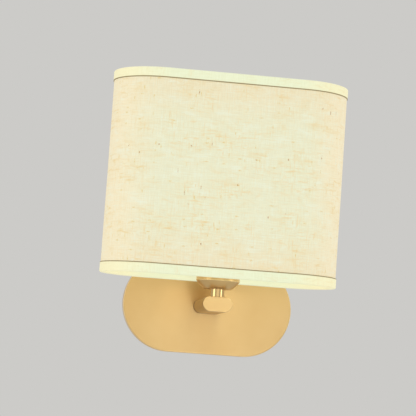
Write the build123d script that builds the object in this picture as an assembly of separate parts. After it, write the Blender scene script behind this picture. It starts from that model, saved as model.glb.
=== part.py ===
from build123d import *
from math import radians, sqrt, tan
import os

# Wall light with an oval linen shade. All sizes are millimetres.
# X runs to the right, Z up, and the light stands out from the wall along -Y.
# The origin is the centre of the wall plate, on the wall. "Out" is a distance from the wall.

# ---- clearances ----
SEAT_GAP = 0.05          # between pieces that are pushed or screwed together
RUNNING_GAP = 0.10       # between a thread and a ring that turns on it
LOOSE_GAP = 0.30         # between pieces that only pass near each other

# ---- wall plate: a slim pressed pan, open towards the wall ----
PLATE_WIDTH = 147.5
PLATE_HEIGHT = 82.5
PLATE_DEPTH = 10.0
PLATE_WALL = 1.5
PLATE_EDGE = 1.0         # rounding round the front face

# ---- wall bracket: a steel cross with two bent tabs ----
BRACKET_THICK = 1.5
BRACKET_LENGTH = 96.0
BRACKET_STRAP = 20.0     # width of the level strap
BRACKET_UPRIGHT = 22.0   # width of the upright strap
TAB_REACH = 8.0
BEND_RADIUS = 1.2
SLOT_SPACING = 60.0
SLOT_LENGTH = 12.0
SLOT_WIDTH = 4.5
CABLE_HOLE_DIAMETER = 20.0

# ---- screws of the plate and of the bracket's earth point ----
PLATE_SCREW_DIAMETER = 3.0
PLATE_SCREW_LENGTH = 6.0
PLATE_SCREW_HEAD = 5.2
PLATE_SCREW_OUT = 5.0
EARTH_SCREW_DIAMETER = 4.0
EARTH_SCREW_HEAD = 7.0
EARTH_SCREW_HEAD_HEIGHT = 2.4
EARTH_SCREW_X = -17.0
DRIVE_SLOT_WIDTH = 0.8   # driver slot in every slotted head
DRIVE_SLOT_DEPTH = 0.7

# ---- M10 threaded tubes and their nuts ----
THREAD_DIAMETER = 10.0
THREAD_BORE = 7.0
NUT_ACROSS = 14.0
NUT_HEIGHT = 2.5
WASHER_DIAMETER = 16.0
WASHER_THICK = 0.6
WASHER_TEETH = 12
WASHER_TOOTH_DEPTH = 1.2
EARTH_TAG_DIAMETER = 16.0
EARTH_TAG_THICK = 0.8
EARTH_TAG_REACH = 14.5   # from the tube's axis to the end of the tag's lug
EARTH_TAG_LUG = 5.0

# ---- arm ----
ARM_WIDTH = 25.0
ARM_HEIGHT = 12.5
ARM_REACH = 80.0         # from the wall to the arm's front face
ARM_WALL = 2.0
ARM_CAP_THICK = 2.0
ARM_CAP_EDGE = 0.7
ARM_PLUG_LENGTH = 8.0
ARM_SPIGOT = 3.0         # how far each end piece reaches into the tube
PIN_DIAMETER = 2.5
PIN_LENGTH = 6.0
PIN_OFFSET = 8.0         # from the arm's centre to each locating pin
PIN_INTO_PLATE = 1.4

# ---- post between the arm and the cup ----
POST_SETBACK = 12.2      # from the arm's front face back to the post
POST_DIAMETER = 11.8
POST_HEIGHT = 6.75
POST_TUBE_BELOW = 1.25   # threaded tube below the arm's top wall
POST_TUBE_IN_HOLDER = 7.5

# ---- cup under the lamp holder ----
CUP_DIAMETER = 36.7
CUP_BASE_DIAMETER = 22.5
CUP_TAPER_HEIGHT = 6.8
CUP_BULGE = 0.7          # how far the taper swells past a straight cone
CUP_MITRE = 22.5         # degrees: half the turn at either end of the taper
CUP_HEIGHT = 21.0
CUP_WALL = 1.0

# ---- lamp holder ----
HOLDER_CAP_DIAMETER = 29.0
HOLDER_CAP_BASE = 19.0
HOLDER_CAP_CONE = 5.0
HOLDER_CAP_HEIGHT = 16.5
HOLDER_CAP_WALL = 2.0
HOLDER_BOSS_DIAMETER = 16.0
HOLDER_BOSS_HEIGHT = 9.0
HOLDER_THREAD_DIAMETER = 28.0
HOLDER_BORE = 22.8
HOLDER_SHOULDER_DIAMETER = 33.0
HOLDER_SHOULDER_THICK = 2.5
HOLDER_THREAD_LENGTH = 31.5
HOLDER_SPIGOT = 3.0
HOLDER_LIP = 3.0
HOLDER_MOUTH = 17.4
INSERT_BASE_HEIGHT = 9.0
SOCKET_DIAMETER = 14.4   # inside of the brass screw shell
SOCKET_WALL = 0.4
SOCKET_LENGTH = 23.0
TERMINAL_SIZE = 5.0
TERMINAL_HEIGHT = 6.0
TERMINAL_OFFSET = 6.5
TERMINAL_SCREW_DIAMETER = 2.5
TERMINAL_SCREW_LENGTH = 4.0
TERMINAL_SCREW_BITE = 1.0  # how far each screw reaches into its terminal
CONTACT_STRIP = 9.0
CONTACT_WIDTH = 4.0
CONTACT_THICK = 0.5
CONTACT_BUTTON = 3.0
CONTACT_RISE = 1.3

# ---- shade ----
SHADE_WIDTH = 200.0      # over the trim bands
SHADE_DEPTH = 85.0
SHADE_HEIGHT = 169.5
SHADE_DROP = 15.1        # lower rim below the shade's seat on the holder
BAND_HEIGHT = 8.5
BAND_THICK = 0.6
BAND_TURN_IN = 6.0       # height of the band's inner leg
BAND_ROUNDING = 0.9
COVER_THICK = 0.8
LINER_THICK = 0.4
SEAM_LAP = 12.0          # overlap of the cover's two ends, at the back
SEAM_RISE = 0.35
RING_WIRE_DIAMETER = 2.4
FITTER_DIAMETER = 46.0
FITTER_THICK = 1.5
FITTER_GAP = 0.35        # round the holder's thread
ARM_WIRE_DIAMETER = 2.4
ARM_WIRE_BEND = 6.0

# ---- ring that clamps the shade ----
CLAMP_FLANGE_DIAMETER = 43.0
CLAMP_FLANGE_THICK = 1.8
CLAMP_COLLAR_DIAMETER = 35.0
CLAMP_HEIGHT = 8.0
CLAMP_GRIPS = 24
CLAMP_GRIP_DIAMETER = 1.6

# ---- bulb ----
BULB_LENGTH = 78.0
BULB_CAP_DIAMETER = 13.8
BULB_CAP_WALL = 0.3
BULB_CAP_LENGTH = 22.0
BULB_CONTACT_DIAMETER = 4.8
BULB_CONTACT_HEIGHT = 1.0
BULB_INSULATOR_HEIGHT = 3.0
BULB_SPIGOT = 7.0
BULB_NECK_DIAMETER = 17.0
BULB_WALL = 1.2
GLOBE_DIAMETER = 45.0
GLOBE_WALL = 1.0
GLOBE_FOOT_DIAMETER = 39.8
FLARE_DIP = 1.0          # how far the housing's flare curves in from a straight cone
LED_BOARD_THICK = 1.6
LED_COUNT = 10
LED_SIZE = 2.8
LED_HEIGHT = 0.8
LED_CIRCLE = 22.0
DRIVER_WIDTH = 11.0
DRIVER_HEIGHT = 15.0
DRIVER_THICK = 1.2
DRIVER_PART_DIAMETER = 5.0
DRIVER_PART_LENGTH = 8.0
DRIVER_PART_SINK = 0.3   # the capacitor's flat bed on its board

# ---- mains terminal block behind the plate ----
BLOCK_WIDTH = 20.0
BLOCK_HEIGHT = 13.0
BLOCK_THICK = 5.5
BLOCK_ABOVE_HOLE = 4.0   # from the cable hole's edge up to the block
POLE_SPACING = 6.0
POLE_DIAMETER = 3.4
POLE_BORE = 2.2
POLE_LENGTH = 11.0
CLAMP_SCREW_DIAMETER = 1.8
CLAMP_SCREW_SPACING = 5.5
BLOCK_SCREW_DIAMETER = 2.0
BLOCK_SCREW_HEAD = 3.4
BLOCK_SCREW_HEAD_HEIGHT = 1.1

# ---- wires ----
WIRE_DIAMETER = 1.6
WIRE_OFFSET = 1.2        # from the middle of a tube to each wire in it
WIRE_LOW = 2.0           # how far the wires lie under the arm's centre line
WIRE_CORNER = 2.8        # bend behind the arm's threaded tube
WIRE_SWEEP = 5.0         # bend up into the post
WIRE_EASE = 3.0          # all gentler bends

# ---- places worked out from the sizes above ----
SHADE_OUT = ARM_REACH - POST_SETBACK
PLUG_OUT = PLATE_DEPTH + ARM_PLUG_LENGTH
ARM_TOP_Z = ARM_HEIGHT / 2
CUP_Z = ARM_TOP_Z + POST_HEIGHT
CUP_FLOOR_Z = CUP_Z + CUP_WALL
HOLDER_Z = CUP_FLOOR_Z + NUT_HEIGHT
SHOULDER_Z = HOLDER_Z + HOLDER_CAP_HEIGHT
SEAT_Z = SHOULDER_Z + HOLDER_SHOULDER_THICK
HOLDER_TOP_Z = SEAT_Z + HOLDER_THREAD_LENGTH
INSERT_Z = SHOULDER_Z - HOLDER_SPIGOT
SOCKET_Z = INSERT_Z + INSERT_BASE_HEIGHT
SHADE_BOTTOM_Z = SEAT_Z - SHADE_DROP
SHADE_TOP_Z = SHADE_BOTTOM_Z + SHADE_HEIGHT
COVER_INSET = BAND_THICK
LINER_INSET = COVER_INSET + COVER_THICK
RING_INSET = LINER_INSET + LINER_THICK + SEAT_GAP + RING_WIRE_DIAMETER / 2
LEG_INSET = RING_INSET + RING_WIRE_DIAMETER / 2 + SEAT_GAP
FITTER_Z = SEAT_Z + SEAT_GAP
CLAMP_Z = FITTER_Z + FITTER_THICK + SEAT_GAP
BULB_Z = SOCKET_Z + CONTACT_THICK + CONTACT_RISE + RUNNING_GAP
BULB_CAP_Z = BULB_Z + BULB_CONTACT_HEIGHT + BULB_INSULATOR_HEIGHT
NECK_Z = BULB_CAP_Z + BULB_CAP_LENGTH
GLOBE_Z = BULB_Z + BULB_LENGTH - GLOBE_DIAMETER / 2
GLOBE_FOOT_Z = GLOBE_Z - sqrt(GLOBE_DIAMETER**2 - GLOBE_FOOT_DIAMETER**2) / 2
PLATE_INSIDE = PLATE_DEPTH - PLATE_WALL
TAG_OUT = PLATE_INSIDE - EARTH_TAG_THICK
WASHER_OUT = TAG_OUT - WASHER_THICK
NUT_OUT = WASHER_OUT - NUT_HEIGHT
THREAD_HOLE = THREAD_DIAMETER + 2 * SEAT_GAP
BLOCK_Z = CABLE_HOLE_DIAMETER / 2 + BLOCK_ABOVE_HOLE
POLE_OUT = BRACKET_THICK + BLOCK_THICK / 2


def outward(sketch, near, far):
    """Prism between two distances from the wall; the sketch's second axis is the height."""
    return Rot(X=90) * Pos(0, 0, near) * extrude(sketch, far - near)


def upright(sketch, low, high):
    """Prism between two heights, centred on the lamp's upright axis."""
    return Pos(0, -SHADE_OUT, low) * extrude(sketch, high - low)


def turned(*points):
    """Solid turned about the lamp's upright axis from its (radius, height) points."""
    face = Plane.XZ * make_face(Polyline(*points, close=True))
    return Pos(0, -SHADE_OUT, 0) * revolve(face, Axis.Z)


def shade_band(inset, thick, low, high):
    """Part of the shade's wall: an oval tube, its outside this far in from the bands' outside."""
    outer = SlotOverall(SHADE_WIDTH - 2 * inset, SHADE_DEPTH - 2 * inset)
    inner = SlotOverall(SHADE_WIDTH - 2 * inset - 2 * thick, SHADE_DEPTH - 2 * inset - 2 * thick)
    return upright(outer - inner, low, high)


def rod(points, diameter, bends):
    """Round rod or wire along straight runs joined by tangent arcs."""
    path = FilletPolyline(*points, radius=bends)
    section = Plane(origin=path @ 0, z_dir=path % 0) * Circle(diameter / 2)
    return sweep(section, path=path)


def outward_nut(out):
    """Hexagon nut on the arm's threaded tube."""
    sketch = RegularPolygon(NUT_ACROSS / 2, 6, major_radius=False) - Circle(THREAD_HOLE / 2)
    return outward(sketch, out, out + NUT_HEIGHT)


def slotted_head(diameter, height, out):
    """Round screw head with a driver slot, facing out from the wall."""
    head = outward(Circle(diameter / 2), out, out + height)
    head -= outward(Rectangle(2 * diameter, DRIVE_SLOT_WIDTH), out + height - DRIVE_SLOT_DEPTH, out + height)
    return head


# ---- wall side ----
def wall_bracket():
    """Steel cross: level strap with two wall slots, upright strap with a tapped tab at each end."""
    half = PLATE_HEIGHT / 2 - PLATE_WALL - LOOSE_GAP
    cross = Rectangle(BRACKET_LENGTH, BRACKET_STRAP) + Rectangle(BRACKET_UPRIGHT, 2 * half)
    body = outward(cross, 0, BRACKET_THICK)
    for side in (-1, 1):
        tab = Pos(0, side * (half - BRACKET_THICK / 2)) * Rectangle(BRACKET_UPRIGHT, BRACKET_THICK)
        body += outward(tab, 0, TAB_REACH)
    back = body.edges().filter_by(Axis.X).group_by(Axis.Y)[-1].sort_by(Axis.Z)
    body = fillet([back[0], back[-1]], BEND_RADIUS)
    body -= outward(Circle(CABLE_HOLE_DIAMETER / 2), 0, BRACKET_THICK)
    slots = Pos(-SLOT_SPACING / 2, 0) * SlotOverall(SLOT_LENGTH, SLOT_WIDTH)
    slots += Pos(SLOT_SPACING / 2, 0) * SlotOverall(SLOT_LENGTH, SLOT_WIDTH)
    body -= outward(slots, 0, BRACKET_THICK)
    body -= Pos(0, -PLATE_SCREW_OUT, 0) * Cylinder(PLATE_SCREW_DIAMETER / 2 + SEAT_GAP, PLATE_HEIGHT)
    body -= outward(Pos(EARTH_SCREW_X, 0) * Circle(EARTH_SCREW_DIAMETER / 2 + SEAT_GAP), 0, BRACKET_THICK)
    screw = Pos(block_screw_x(), block_middle_z()) * Circle(BLOCK_SCREW_DIAMETER / 2 + SEAT_GAP)
    body -= outward(screw, 0, BRACKET_THICK)
    return body


def bracket_earth_screw():
    """Slotted screw for the building's earth wire, in the level strap."""
    shank = outward(Circle(EARTH_SCREW_DIAMETER / 2), 0, BRACKET_THICK)
    head = slotted_head(EARTH_SCREW_HEAD, EARTH_SCREW_HEAD_HEIGHT, BRACKET_THICK)
    return Pos(EARTH_SCREW_X, 0, 0) * (shank + head)


def wall_plate():
    """Stadium pan that covers the bracket, with holes for the arm and the two side screws."""
    body = outward(SlotOverall(PLATE_WIDTH, PLATE_HEIGHT), 0, PLATE_DEPTH)
    body = fillet(body.faces().sort_by(Axis.Y)[0].edges(), PLATE_EDGE)
    hollow = SlotOverall(PLATE_WIDTH - 2 * PLATE_WALL, PLATE_HEIGHT - 2 * PLATE_WALL)
    body -= outward(hollow, 0, PLATE_INSIDE)
    body -= outward(Circle(THREAD_HOLE / 2), 0, PLATE_DEPTH)
    for side in (-1, 1):
        hole = Pos(side * PIN_OFFSET, 0) * Circle(PIN_DIAMETER / 2 + SEAT_GAP)
        body -= outward(hole, PLATE_DEPTH - PIN_INTO_PLATE, PLATE_DEPTH)
    body -= plate_screw(SEAT_GAP)
    body -= mirror(plate_screw(SEAT_GAP), about=Plane.XY)
    return body


def plate_screw(gap):
    """Upper side screw, its countersunk head flush with the plate's rim; gap widens it for its hole."""
    top = PLATE_HEIGHT / 2
    shank = PLATE_SCREW_DIAMETER / 2 + gap
    head = PLATE_SCREW_HEAD / 2 + gap
    points = [(0, top), (head, top), (shank, top - head + shank)]
    points += [(shank, top - PLATE_SCREW_LENGTH - gap), (0, top - PLATE_SCREW_LENGTH - gap)]
    face = Plane.XZ * make_face(Polyline(*points, close=True))
    return Pos(0, -PLATE_SCREW_OUT, 0) * revolve(face, Axis.Z)


def plate_screws():
    """Pair of countersunk side screws, above and below."""
    upper = plate_screw(0)
    slot = Box(PLATE_SCREW_HEAD, DRIVE_SLOT_WIDTH, DRIVE_SLOT_DEPTH, align=(Align.CENTER, Align.CENTER, Align.MAX))
    upper -= Pos(0, -PLATE_SCREW_OUT, PLATE_HEIGHT / 2) * slot
    return Compound(children=[upper, mirror(upper, about=Plane.XY)])


# ---- terminal block ----
def block_middle_z():
    """Height of the terminal block's middle."""
    return BLOCK_Z + BLOCK_HEIGHT / 2


def block_screw_x():
    """Place of the block's own screw, between two poles."""
    return -POLE_SPACING / 2


def pole_places():
    """Sideways place of each pole: earth, live, neutral."""
    return [-POLE_SPACING, 0, POLE_SPACING]


def terminal_block():
    """Plastic block with a bore for each brass pole and its clamp screws."""
    outline = RectangleRounded(BLOCK_WIDTH, BLOCK_HEIGHT, CLAMP_SCREW_DIAMETER / 2)
    body = outward(Pos(0, block_middle_z()) * outline, BRACKET_THICK, BRACKET_THICK + BLOCK_THICK)
    for x in pole_places():
        body -= Pos(x, -POLE_OUT, block_middle_z()) * Cylinder(POLE_DIAMETER / 2 + SEAT_GAP, BLOCK_HEIGHT)
        for side in (-1, 1):
            z = block_middle_z() + side * CLAMP_SCREW_SPACING / 2
            hole = Pos(x, z) * Circle(CLAMP_SCREW_DIAMETER / 2 + SEAT_GAP)
            body -= outward(hole, POLE_OUT, BRACKET_THICK + BLOCK_THICK)
    fixing = Pos(block_screw_x(), block_middle_z()) * Circle(BLOCK_SCREW_DIAMETER / 2 + SEAT_GAP)
    body -= outward(fixing, BRACKET_THICK, BRACKET_THICK + BLOCK_THICK)
    return body


def terminal_poles():
    """Three brass tubes that join the incoming wires to the light's own."""
    poles = []
    for x in pole_places():
        pole = Cylinder(POLE_DIAMETER / 2, POLE_LENGTH) - Cylinder(POLE_BORE / 2, POLE_LENGTH)
        pole = Pos(x, -POLE_OUT, block_middle_z()) * pole
        for side in (-1, 1):
            z = block_middle_z() + side * CLAMP_SCREW_SPACING / 2
            hole = Pos(x, z) * Circle(CLAMP_SCREW_DIAMETER / 2 + SEAT_GAP)
            pole -= outward(hole, POLE_OUT, BRACKET_THICK + BLOCK_THICK)
        poles.append(pole)
    return Compound(children=poles)


def terminal_clamp_screws():
    """Six small slotted screws, two in each pole."""
    screws = []
    tip = POLE_OUT + POLE_BORE / 2
    face = BRACKET_THICK + BLOCK_THICK
    for x in pole_places():
        for side in (-1, 1):
            z = block_middle_z() + side * CLAMP_SCREW_SPACING / 2
            screws.append(Pos(x, 0, z) * slotted_head(CLAMP_SCREW_DIAMETER, face - tip, tip))
    return Compound(children=screws)


def terminal_fixing_screw():
    """Screw that holds the block to the bracket."""
    face = BRACKET_THICK + BLOCK_THICK
    shank = outward(Circle(BLOCK_SCREW_DIAMETER / 2), 0, face)
    head = slotted_head(BLOCK_SCREW_HEAD, BLOCK_SCREW_HEAD_HEIGHT, face)
    return Pos(block_screw_x(), 0, block_middle_z()) * (shank + head)


# ---- arm ----
def arm_hollow(gap):
    """Section of the arm's inside, smaller all round by gap."""
    inset = ARM_WALL + gap
    return SlotOverall(ARM_WIDTH - 2 * inset, ARM_HEIGHT - 2 * inset)


def arm_tube():
    """Stadium tube between its two end pieces, tapped on top for the post."""
    section = SlotOverall(ARM_WIDTH, ARM_HEIGHT) - arm_hollow(0)
    body = outward(section, PLUG_OUT, ARM_REACH - ARM_CAP_THICK)
    body -= upright(Circle(THREAD_HOLE / 2), 0, ARM_HEIGHT)
    return body


def arm_front_cap():
    """Closed front end, brazed in, with a fine rounded edge."""
    face = ARM_REACH - ARM_CAP_THICK
    cap = outward(SlotOverall(ARM_WIDTH, ARM_HEIGHT), face, ARM_REACH)
    cap = fillet(cap.faces().sort_by(Axis.Y)[0].edges(), ARM_CAP_EDGE)
    return cap + outward(arm_hollow(SEAT_GAP), face - ARM_SPIGOT, face)


def arm_rear_plug():
    """Tapped block at the arm's rear end that the threaded tube screws into."""
    body = outward(SlotOverall(ARM_WIDTH, ARM_HEIGHT), PLATE_DEPTH, PLUG_OUT)
    body += outward(arm_hollow(SEAT_GAP), PLUG_OUT, PLUG_OUT + ARM_SPIGOT)
    body -= outward(Circle(THREAD_HOLE / 2), PLATE_DEPTH, PLUG_OUT + ARM_SPIGOT)
    for side in (-1, 1):
        hole = Pos(side * PIN_OFFSET, 0) * Circle(PIN_DIAMETER / 2 + SEAT_GAP)
        body -= outward(hole, PLATE_DEPTH, PLATE_DEPTH - PIN_INTO_PLATE + PIN_LENGTH)
    return body


def arm_locating_pins():
    """Two pins that keep the arm from turning on the plate."""
    pins = []
    start = PLATE_DEPTH - PIN_INTO_PLATE
    for side in (-1, 1):
        pins.append(outward(Pos(side * PIN_OFFSET, 0) * Circle(PIN_DIAMETER / 2), start, start + PIN_LENGTH))
    return Compound(children=pins)


def arm_nipple():
    """Threaded tube that pulls the arm against the plate and carries the wires through."""
    section = Circle(THREAD_DIAMETER / 2) - Circle(THREAD_BORE / 2)
    return outward(section, NUT_OUT, PLUG_OUT)


def arm_nut():
    """Nut behind the plate."""
    return outward_nut(NUT_OUT)


def lock_washer():
    """Toothed washer under the nut."""
    section = Circle(WASHER_DIAMETER / 2) - Circle(THREAD_HOLE / 2)
    notch = Rectangle(2 * WASHER_TOOTH_DEPTH, WASHER_TOOTH_DEPTH)
    for count in range(WASHER_TEETH):
        section -= Rot(Z=360 * count / WASHER_TEETH) * Pos(WASHER_DIAMETER / 2, 0) * notch
    return outward(section, WASHER_OUT, TAG_OUT)


def earth_tag():
    """Ring tag that earths the plate and the arm."""
    lug_length = EARTH_TAG_REACH
    section = Circle(EARTH_TAG_DIAMETER / 2) + Pos(-lug_length / 2, 0) * Rectangle(lug_length, EARTH_TAG_LUG)
    section -= Circle(THREAD_HOLE / 2)
    return outward(section, TAG_OUT, PLATE_INSIDE)


# ---- post and cup ----
def post_tube():
    """Threaded tube from inside the arm up into the lamp holder."""
    section = Circle(THREAD_DIAMETER / 2) - Circle(THREAD_BORE / 2)
    bottom = ARM_TOP_Z - ARM_WALL - POST_TUBE_BELOW
    return upright(section, bottom, HOLDER_Z + POST_TUBE_IN_HOLDER)


def post_sleeve():
    """Plain sleeve that shows between the arm and the cup."""
    section = Circle(POST_DIAMETER / 2) - Circle(THREAD_HOLE / 2)
    return upright(section, ARM_TOP_Z, CUP_Z)


def cup_form(inset):
    """Solid of the cup's outline, moved in by inset: a flat base, a swelling taper, a straight side."""
    corner = inset * tan(radians(CUP_MITRE))
    low = (CUP_BASE_DIAMETER / 2 - corner, CUP_Z + inset)
    high = (CUP_DIAMETER / 2 - inset, CUP_Z + CUP_TAPER_HEIGHT + corner)
    middle = ((low[0] + high[0] + CUP_BULGE) / 2, (low[1] + high[1] - CUP_BULGE) / 2)
    top = CUP_Z + CUP_HEIGHT
    outline = Line((0, low[1]), low) + ThreePointArc(low, middle, high)
    outline += Polyline(high, (high[0], top), (0, top), (0, low[1]))
    return Pos(0, -SHADE_OUT, 0) * revolve(Plane.XZ * make_face(outline), Axis.Z)


def holder_cup():
    """Spun cup that hides the foot of the lamp holder."""
    return cup_form(0) - cup_form(CUP_WALL) - upright(Circle(THREAD_HOLE / 2), CUP_Z, CUP_FLOOR_Z)


def cup_nut():
    """Nut that clamps the cup on the post."""
    sketch = RegularPolygon(NUT_ACROSS / 2, 6, major_radius=False) - Circle(THREAD_HOLE / 2)
    return upright(sketch, CUP_FLOOR_Z, HOLDER_Z)


# ---- lamp holder ----
def holder_cap():
    """Lower half of the lamp holder, screwed on the post's threaded tube."""
    outer = HOLDER_CAP_DIAMETER / 2
    inner = outer - HOLDER_CAP_WALL
    boss = HOLDER_BOSS_DIAMETER / 2
    base = HOLDER_CAP_BASE / 2
    cone = HOLDER_Z + HOLDER_CAP_CONE
    floor = HOLDER_Z + HOLDER_CAP_WALL
    boss_top = HOLDER_Z + HOLDER_BOSS_HEIGHT
    points = [(THREAD_HOLE / 2, HOLDER_Z), (base, HOLDER_Z), (outer, cone), (outer, SHOULDER_Z)]
    points += [(inner, SHOULDER_Z), (inner, cone + HOLDER_CAP_WALL / 2), (base, floor), (boss, floor)]
    points += [(boss, boss_top), (THREAD_HOLE / 2, boss_top)]
    return turned(*points)


def holder_body():
    """Upper half of the lamp holder: spigot, shoulder that the shade sits on, and threaded skirt."""
    bore = HOLDER_BORE / 2
    spigot = HOLDER_CAP_DIAMETER / 2 - HOLDER_CAP_WALL - SEAT_GAP
    shoulder = HOLDER_SHOULDER_DIAMETER / 2
    thread = HOLDER_THREAD_DIAMETER / 2
    mouth = HOLDER_MOUTH / 2
    lip = HOLDER_TOP_Z - HOLDER_LIP
    points = [(bore, INSERT_Z), (spigot, INSERT_Z), (spigot, SHOULDER_Z), (shoulder, SHOULDER_Z)]
    points += [(shoulder, SEAT_Z), (thread, SEAT_Z), (thread, HOLDER_TOP_Z), (mouth, HOLDER_TOP_Z)]
    points += [(mouth, lip), (bore, lip)]
    return turned(*points)


def terminal_pocket(side, gap):
    """Space of one terminal in the holder's insert, larger all round by gap."""
    size = TERMINAL_SIZE + 2 * gap
    block = Pos(side * TERMINAL_OFFSET, 0) * Rectangle(size, size)
    return upright(block, INSERT_Z, INSERT_Z + TERMINAL_HEIGHT + gap)


def terminal_screw(side, gap):
    """Level screw that clamps a wire in its terminal, reached from the front."""
    radius = TERMINAL_SCREW_DIAMETER / 2 + gap
    start = SHADE_OUT + TERMINAL_SIZE / 2 - TERMINAL_SCREW_BITE
    place = Pos(side * TERMINAL_OFFSET, INSERT_Z + TERMINAL_HEIGHT / 2)
    return outward(place * Circle(radius), start, start + TERMINAL_SCREW_LENGTH + gap)


def holder_insert():
    """Insulating core that holds the terminals, the centre contact and the screw shell."""
    radius = HOLDER_BORE / 2 - SEAT_GAP
    top = HOLDER_TOP_Z - HOLDER_LIP - SEAT_GAP
    body = upright(Circle(radius), INSERT_Z, top)
    body -= upright(Circle(SOCKET_DIAMETER / 2 + SOCKET_WALL + SEAT_GAP), SOCKET_Z, top)
    for side in (-1, 1):
        body -= terminal_pocket(side, SEAT_GAP)
        body -= terminal_screw(side, SEAT_GAP)
    return body


def holder_terminals():
    """Two brass blocks, each with a hole from below for its wire and one for its screw."""
    blocks = []
    for side in (-1, 1):
        block = terminal_pocket(side, 0)
        hole = Pos(side * TERMINAL_OFFSET, 0) * Circle(WIRE_DIAMETER / 2 + SEAT_GAP)
        block -= upright(hole, INSERT_Z, INSERT_Z + TERMINAL_HEIGHT / 2)
        block -= terminal_screw(side, SEAT_GAP)
        blocks.append(block)
    return Compound(children=blocks)


def holder_terminal_screws():
    """Slotted screws of the two terminals."""
    screws = []
    front = SHADE_OUT + TERMINAL_SIZE / 2 - TERMINAL_SCREW_BITE + TERMINAL_SCREW_LENGTH
    for side in (-1, 1):
        place = Pos(side * TERMINAL_OFFSET, INSERT_Z + TERMINAL_HEIGHT / 2)
        slot = place * Rectangle(TERMINAL_SCREW_DIAMETER, DRIVE_SLOT_WIDTH)
        screws.append(terminal_screw(side, 0) - outward(slot, front - DRIVE_SLOT_DEPTH, front))
    return Compound(children=screws)


def socket_shell():
    """Brass screw shell that the bulb's cap turns in."""
    section = Circle(SOCKET_DIAMETER / 2 + SOCKET_WALL) - Circle(SOCKET_DIAMETER / 2)
    return upright(section, SOCKET_Z, SOCKET_Z + SOCKET_LENGTH)


def centre_contact():
    """Brass strip with a raised button under the bulb's contact."""
    strip = upright(Rectangle(CONTACT_STRIP, CONTACT_WIDTH), SOCKET_Z, SOCKET_Z + CONTACT_THICK)
    button = upright(Circle(CONTACT_BUTTON / 2), SOCKET_Z, SOCKET_Z + CONTACT_THICK + CONTACT_RISE)
    return strip + button


# ---- wires ----
def mains_wire(side, pole_x):
    """Live or neutral wire: terminal block, arm, post, lamp holder terminal."""
    corner_out = NUT_OUT - WIRE_CORNER
    x = side * WIRE_OFFSET
    end_x = side * TERMINAL_OFFSET
    tube_top = HOLDER_Z + HOLDER_BOSS_HEIGHT
    points = [(pole_x, -POLE_OUT, BLOCK_Z), (pole_x, -POLE_OUT, BLOCK_Z - WIRE_DIAMETER)]
    points += [(x, -corner_out, WIRE_SWEEP), (x, -corner_out, -WIRE_LOW), (x, -SHADE_OUT, -WIRE_LOW)]
    points += [(x, -SHADE_OUT, tube_top), (end_x, -SHADE_OUT, INSERT_Z - WIRE_DIAMETER / 2)]
    points += [(end_x, -SHADE_OUT, INSERT_Z + TERMINAL_HEIGHT / 2 - SEAT_GAP)]
    bends = [WIRE_EASE, WIRE_EASE, WIRE_CORNER, WIRE_SWEEP, WIRE_EASE / 2, WIRE_EASE / 2]
    return rod(points, WIRE_DIAMETER, bends)


def earth_wire():
    """Short earth wire from the terminal block to the ring tag's lug."""
    pole_x = -POLE_SPACING
    lug_x = -EARTH_TAG_REACH + WIRE_DIAMETER
    lug_out = TAG_OUT - WIRE_DIAMETER / 2
    points = [(pole_x, -POLE_OUT, BLOCK_Z), (pole_x, -POLE_OUT, BLOCK_Z - 2 * WIRE_DIAMETER)]
    points += [(lug_x, -lug_out, EARTH_TAG_LUG), (lug_x, -lug_out, -EARTH_TAG_LUG / 2)]
    return rod(points, WIRE_DIAMETER, WIRE_EASE)


# ---- shade ----
def shade_cover():
    """Linen drum with its lapped seam at the back."""
    low = SHADE_BOTTOM_Z + BAND_THICK
    high = SHADE_TOP_Z - BAND_THICK
    body = shade_band(COVER_INSET, COVER_THICK, low, high)
    back = SHADE_DEPTH / 2 - COVER_INSET
    lap = Pos(0, back) * Rectangle(SEAM_LAP, 2 * SEAM_RISE)
    return body + upright(lap, low + BAND_HEIGHT, high - BAND_HEIGHT)


def shade_liner():
    """Stiff inner lining that the linen is stuck to."""
    return shade_band(LINER_INSET, LINER_THICK, SHADE_BOTTOM_Z + BAND_THICK, SHADE_TOP_Z - BAND_THICK)


def edge_band(low, high):
    """Trim band rolled over the ring wire; low is the rim's level and high the band's outer edge."""
    turn = low + BAND_TURN_IN if high > low else low - BAND_TURN_IN
    web = low + BAND_THICK if high > low else low - BAND_THICK
    width = LEG_INSET + BAND_THICK
    body = shade_band(0, BAND_THICK, min(low, high), max(low, high))
    body += shade_band(0, width, min(low, web), max(low, web))
    body += shade_band(LEG_INSET, BAND_THICK, min(low, turn), max(low, turn))
    rim = body.faces().filter_by(Plane.XY).group_by(Axis.Z)[0 if high > low else -1]
    return fillet(rim.edges(), BAND_ROUNDING)


def top_band():
    """Trim band over the top edge."""
    return edge_band(SHADE_TOP_Z, SHADE_TOP_Z - BAND_HEIGHT)


def bottom_band():
    """Trim band under the bottom edge."""
    return edge_band(SHADE_BOTTOM_Z, SHADE_BOTTOM_Z + BAND_HEIGHT)


def ring_wire(z):
    """Oval steel wire that keeps one edge of the shade in shape."""
    oval = SlotOverall(SHADE_WIDTH - 2 * RING_INSET, SHADE_DEPTH - 2 * RING_INSET)
    path = Pos(0, -SHADE_OUT, z) * oval.wire()
    section = Plane(origin=path @ 0, z_dir=path % 0) * Circle(RING_WIRE_DIAMETER / 2)
    return sweep(section, path=path)


def ring_wire_height():
    """Distance from a rim of the shade to its ring wire's centre."""
    return BAND_THICK + SEAT_GAP + RING_WIRE_DIAMETER / 2


def fitter_ring():
    """Flat ring that sits on the holder's shoulder."""
    hole = HOLDER_THREAD_DIAMETER / 2 + FITTER_GAP
    return upright(Circle(FITTER_DIAMETER / 2) - Circle(hole), FITTER_Z, FITTER_Z + FITTER_THICK)


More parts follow.
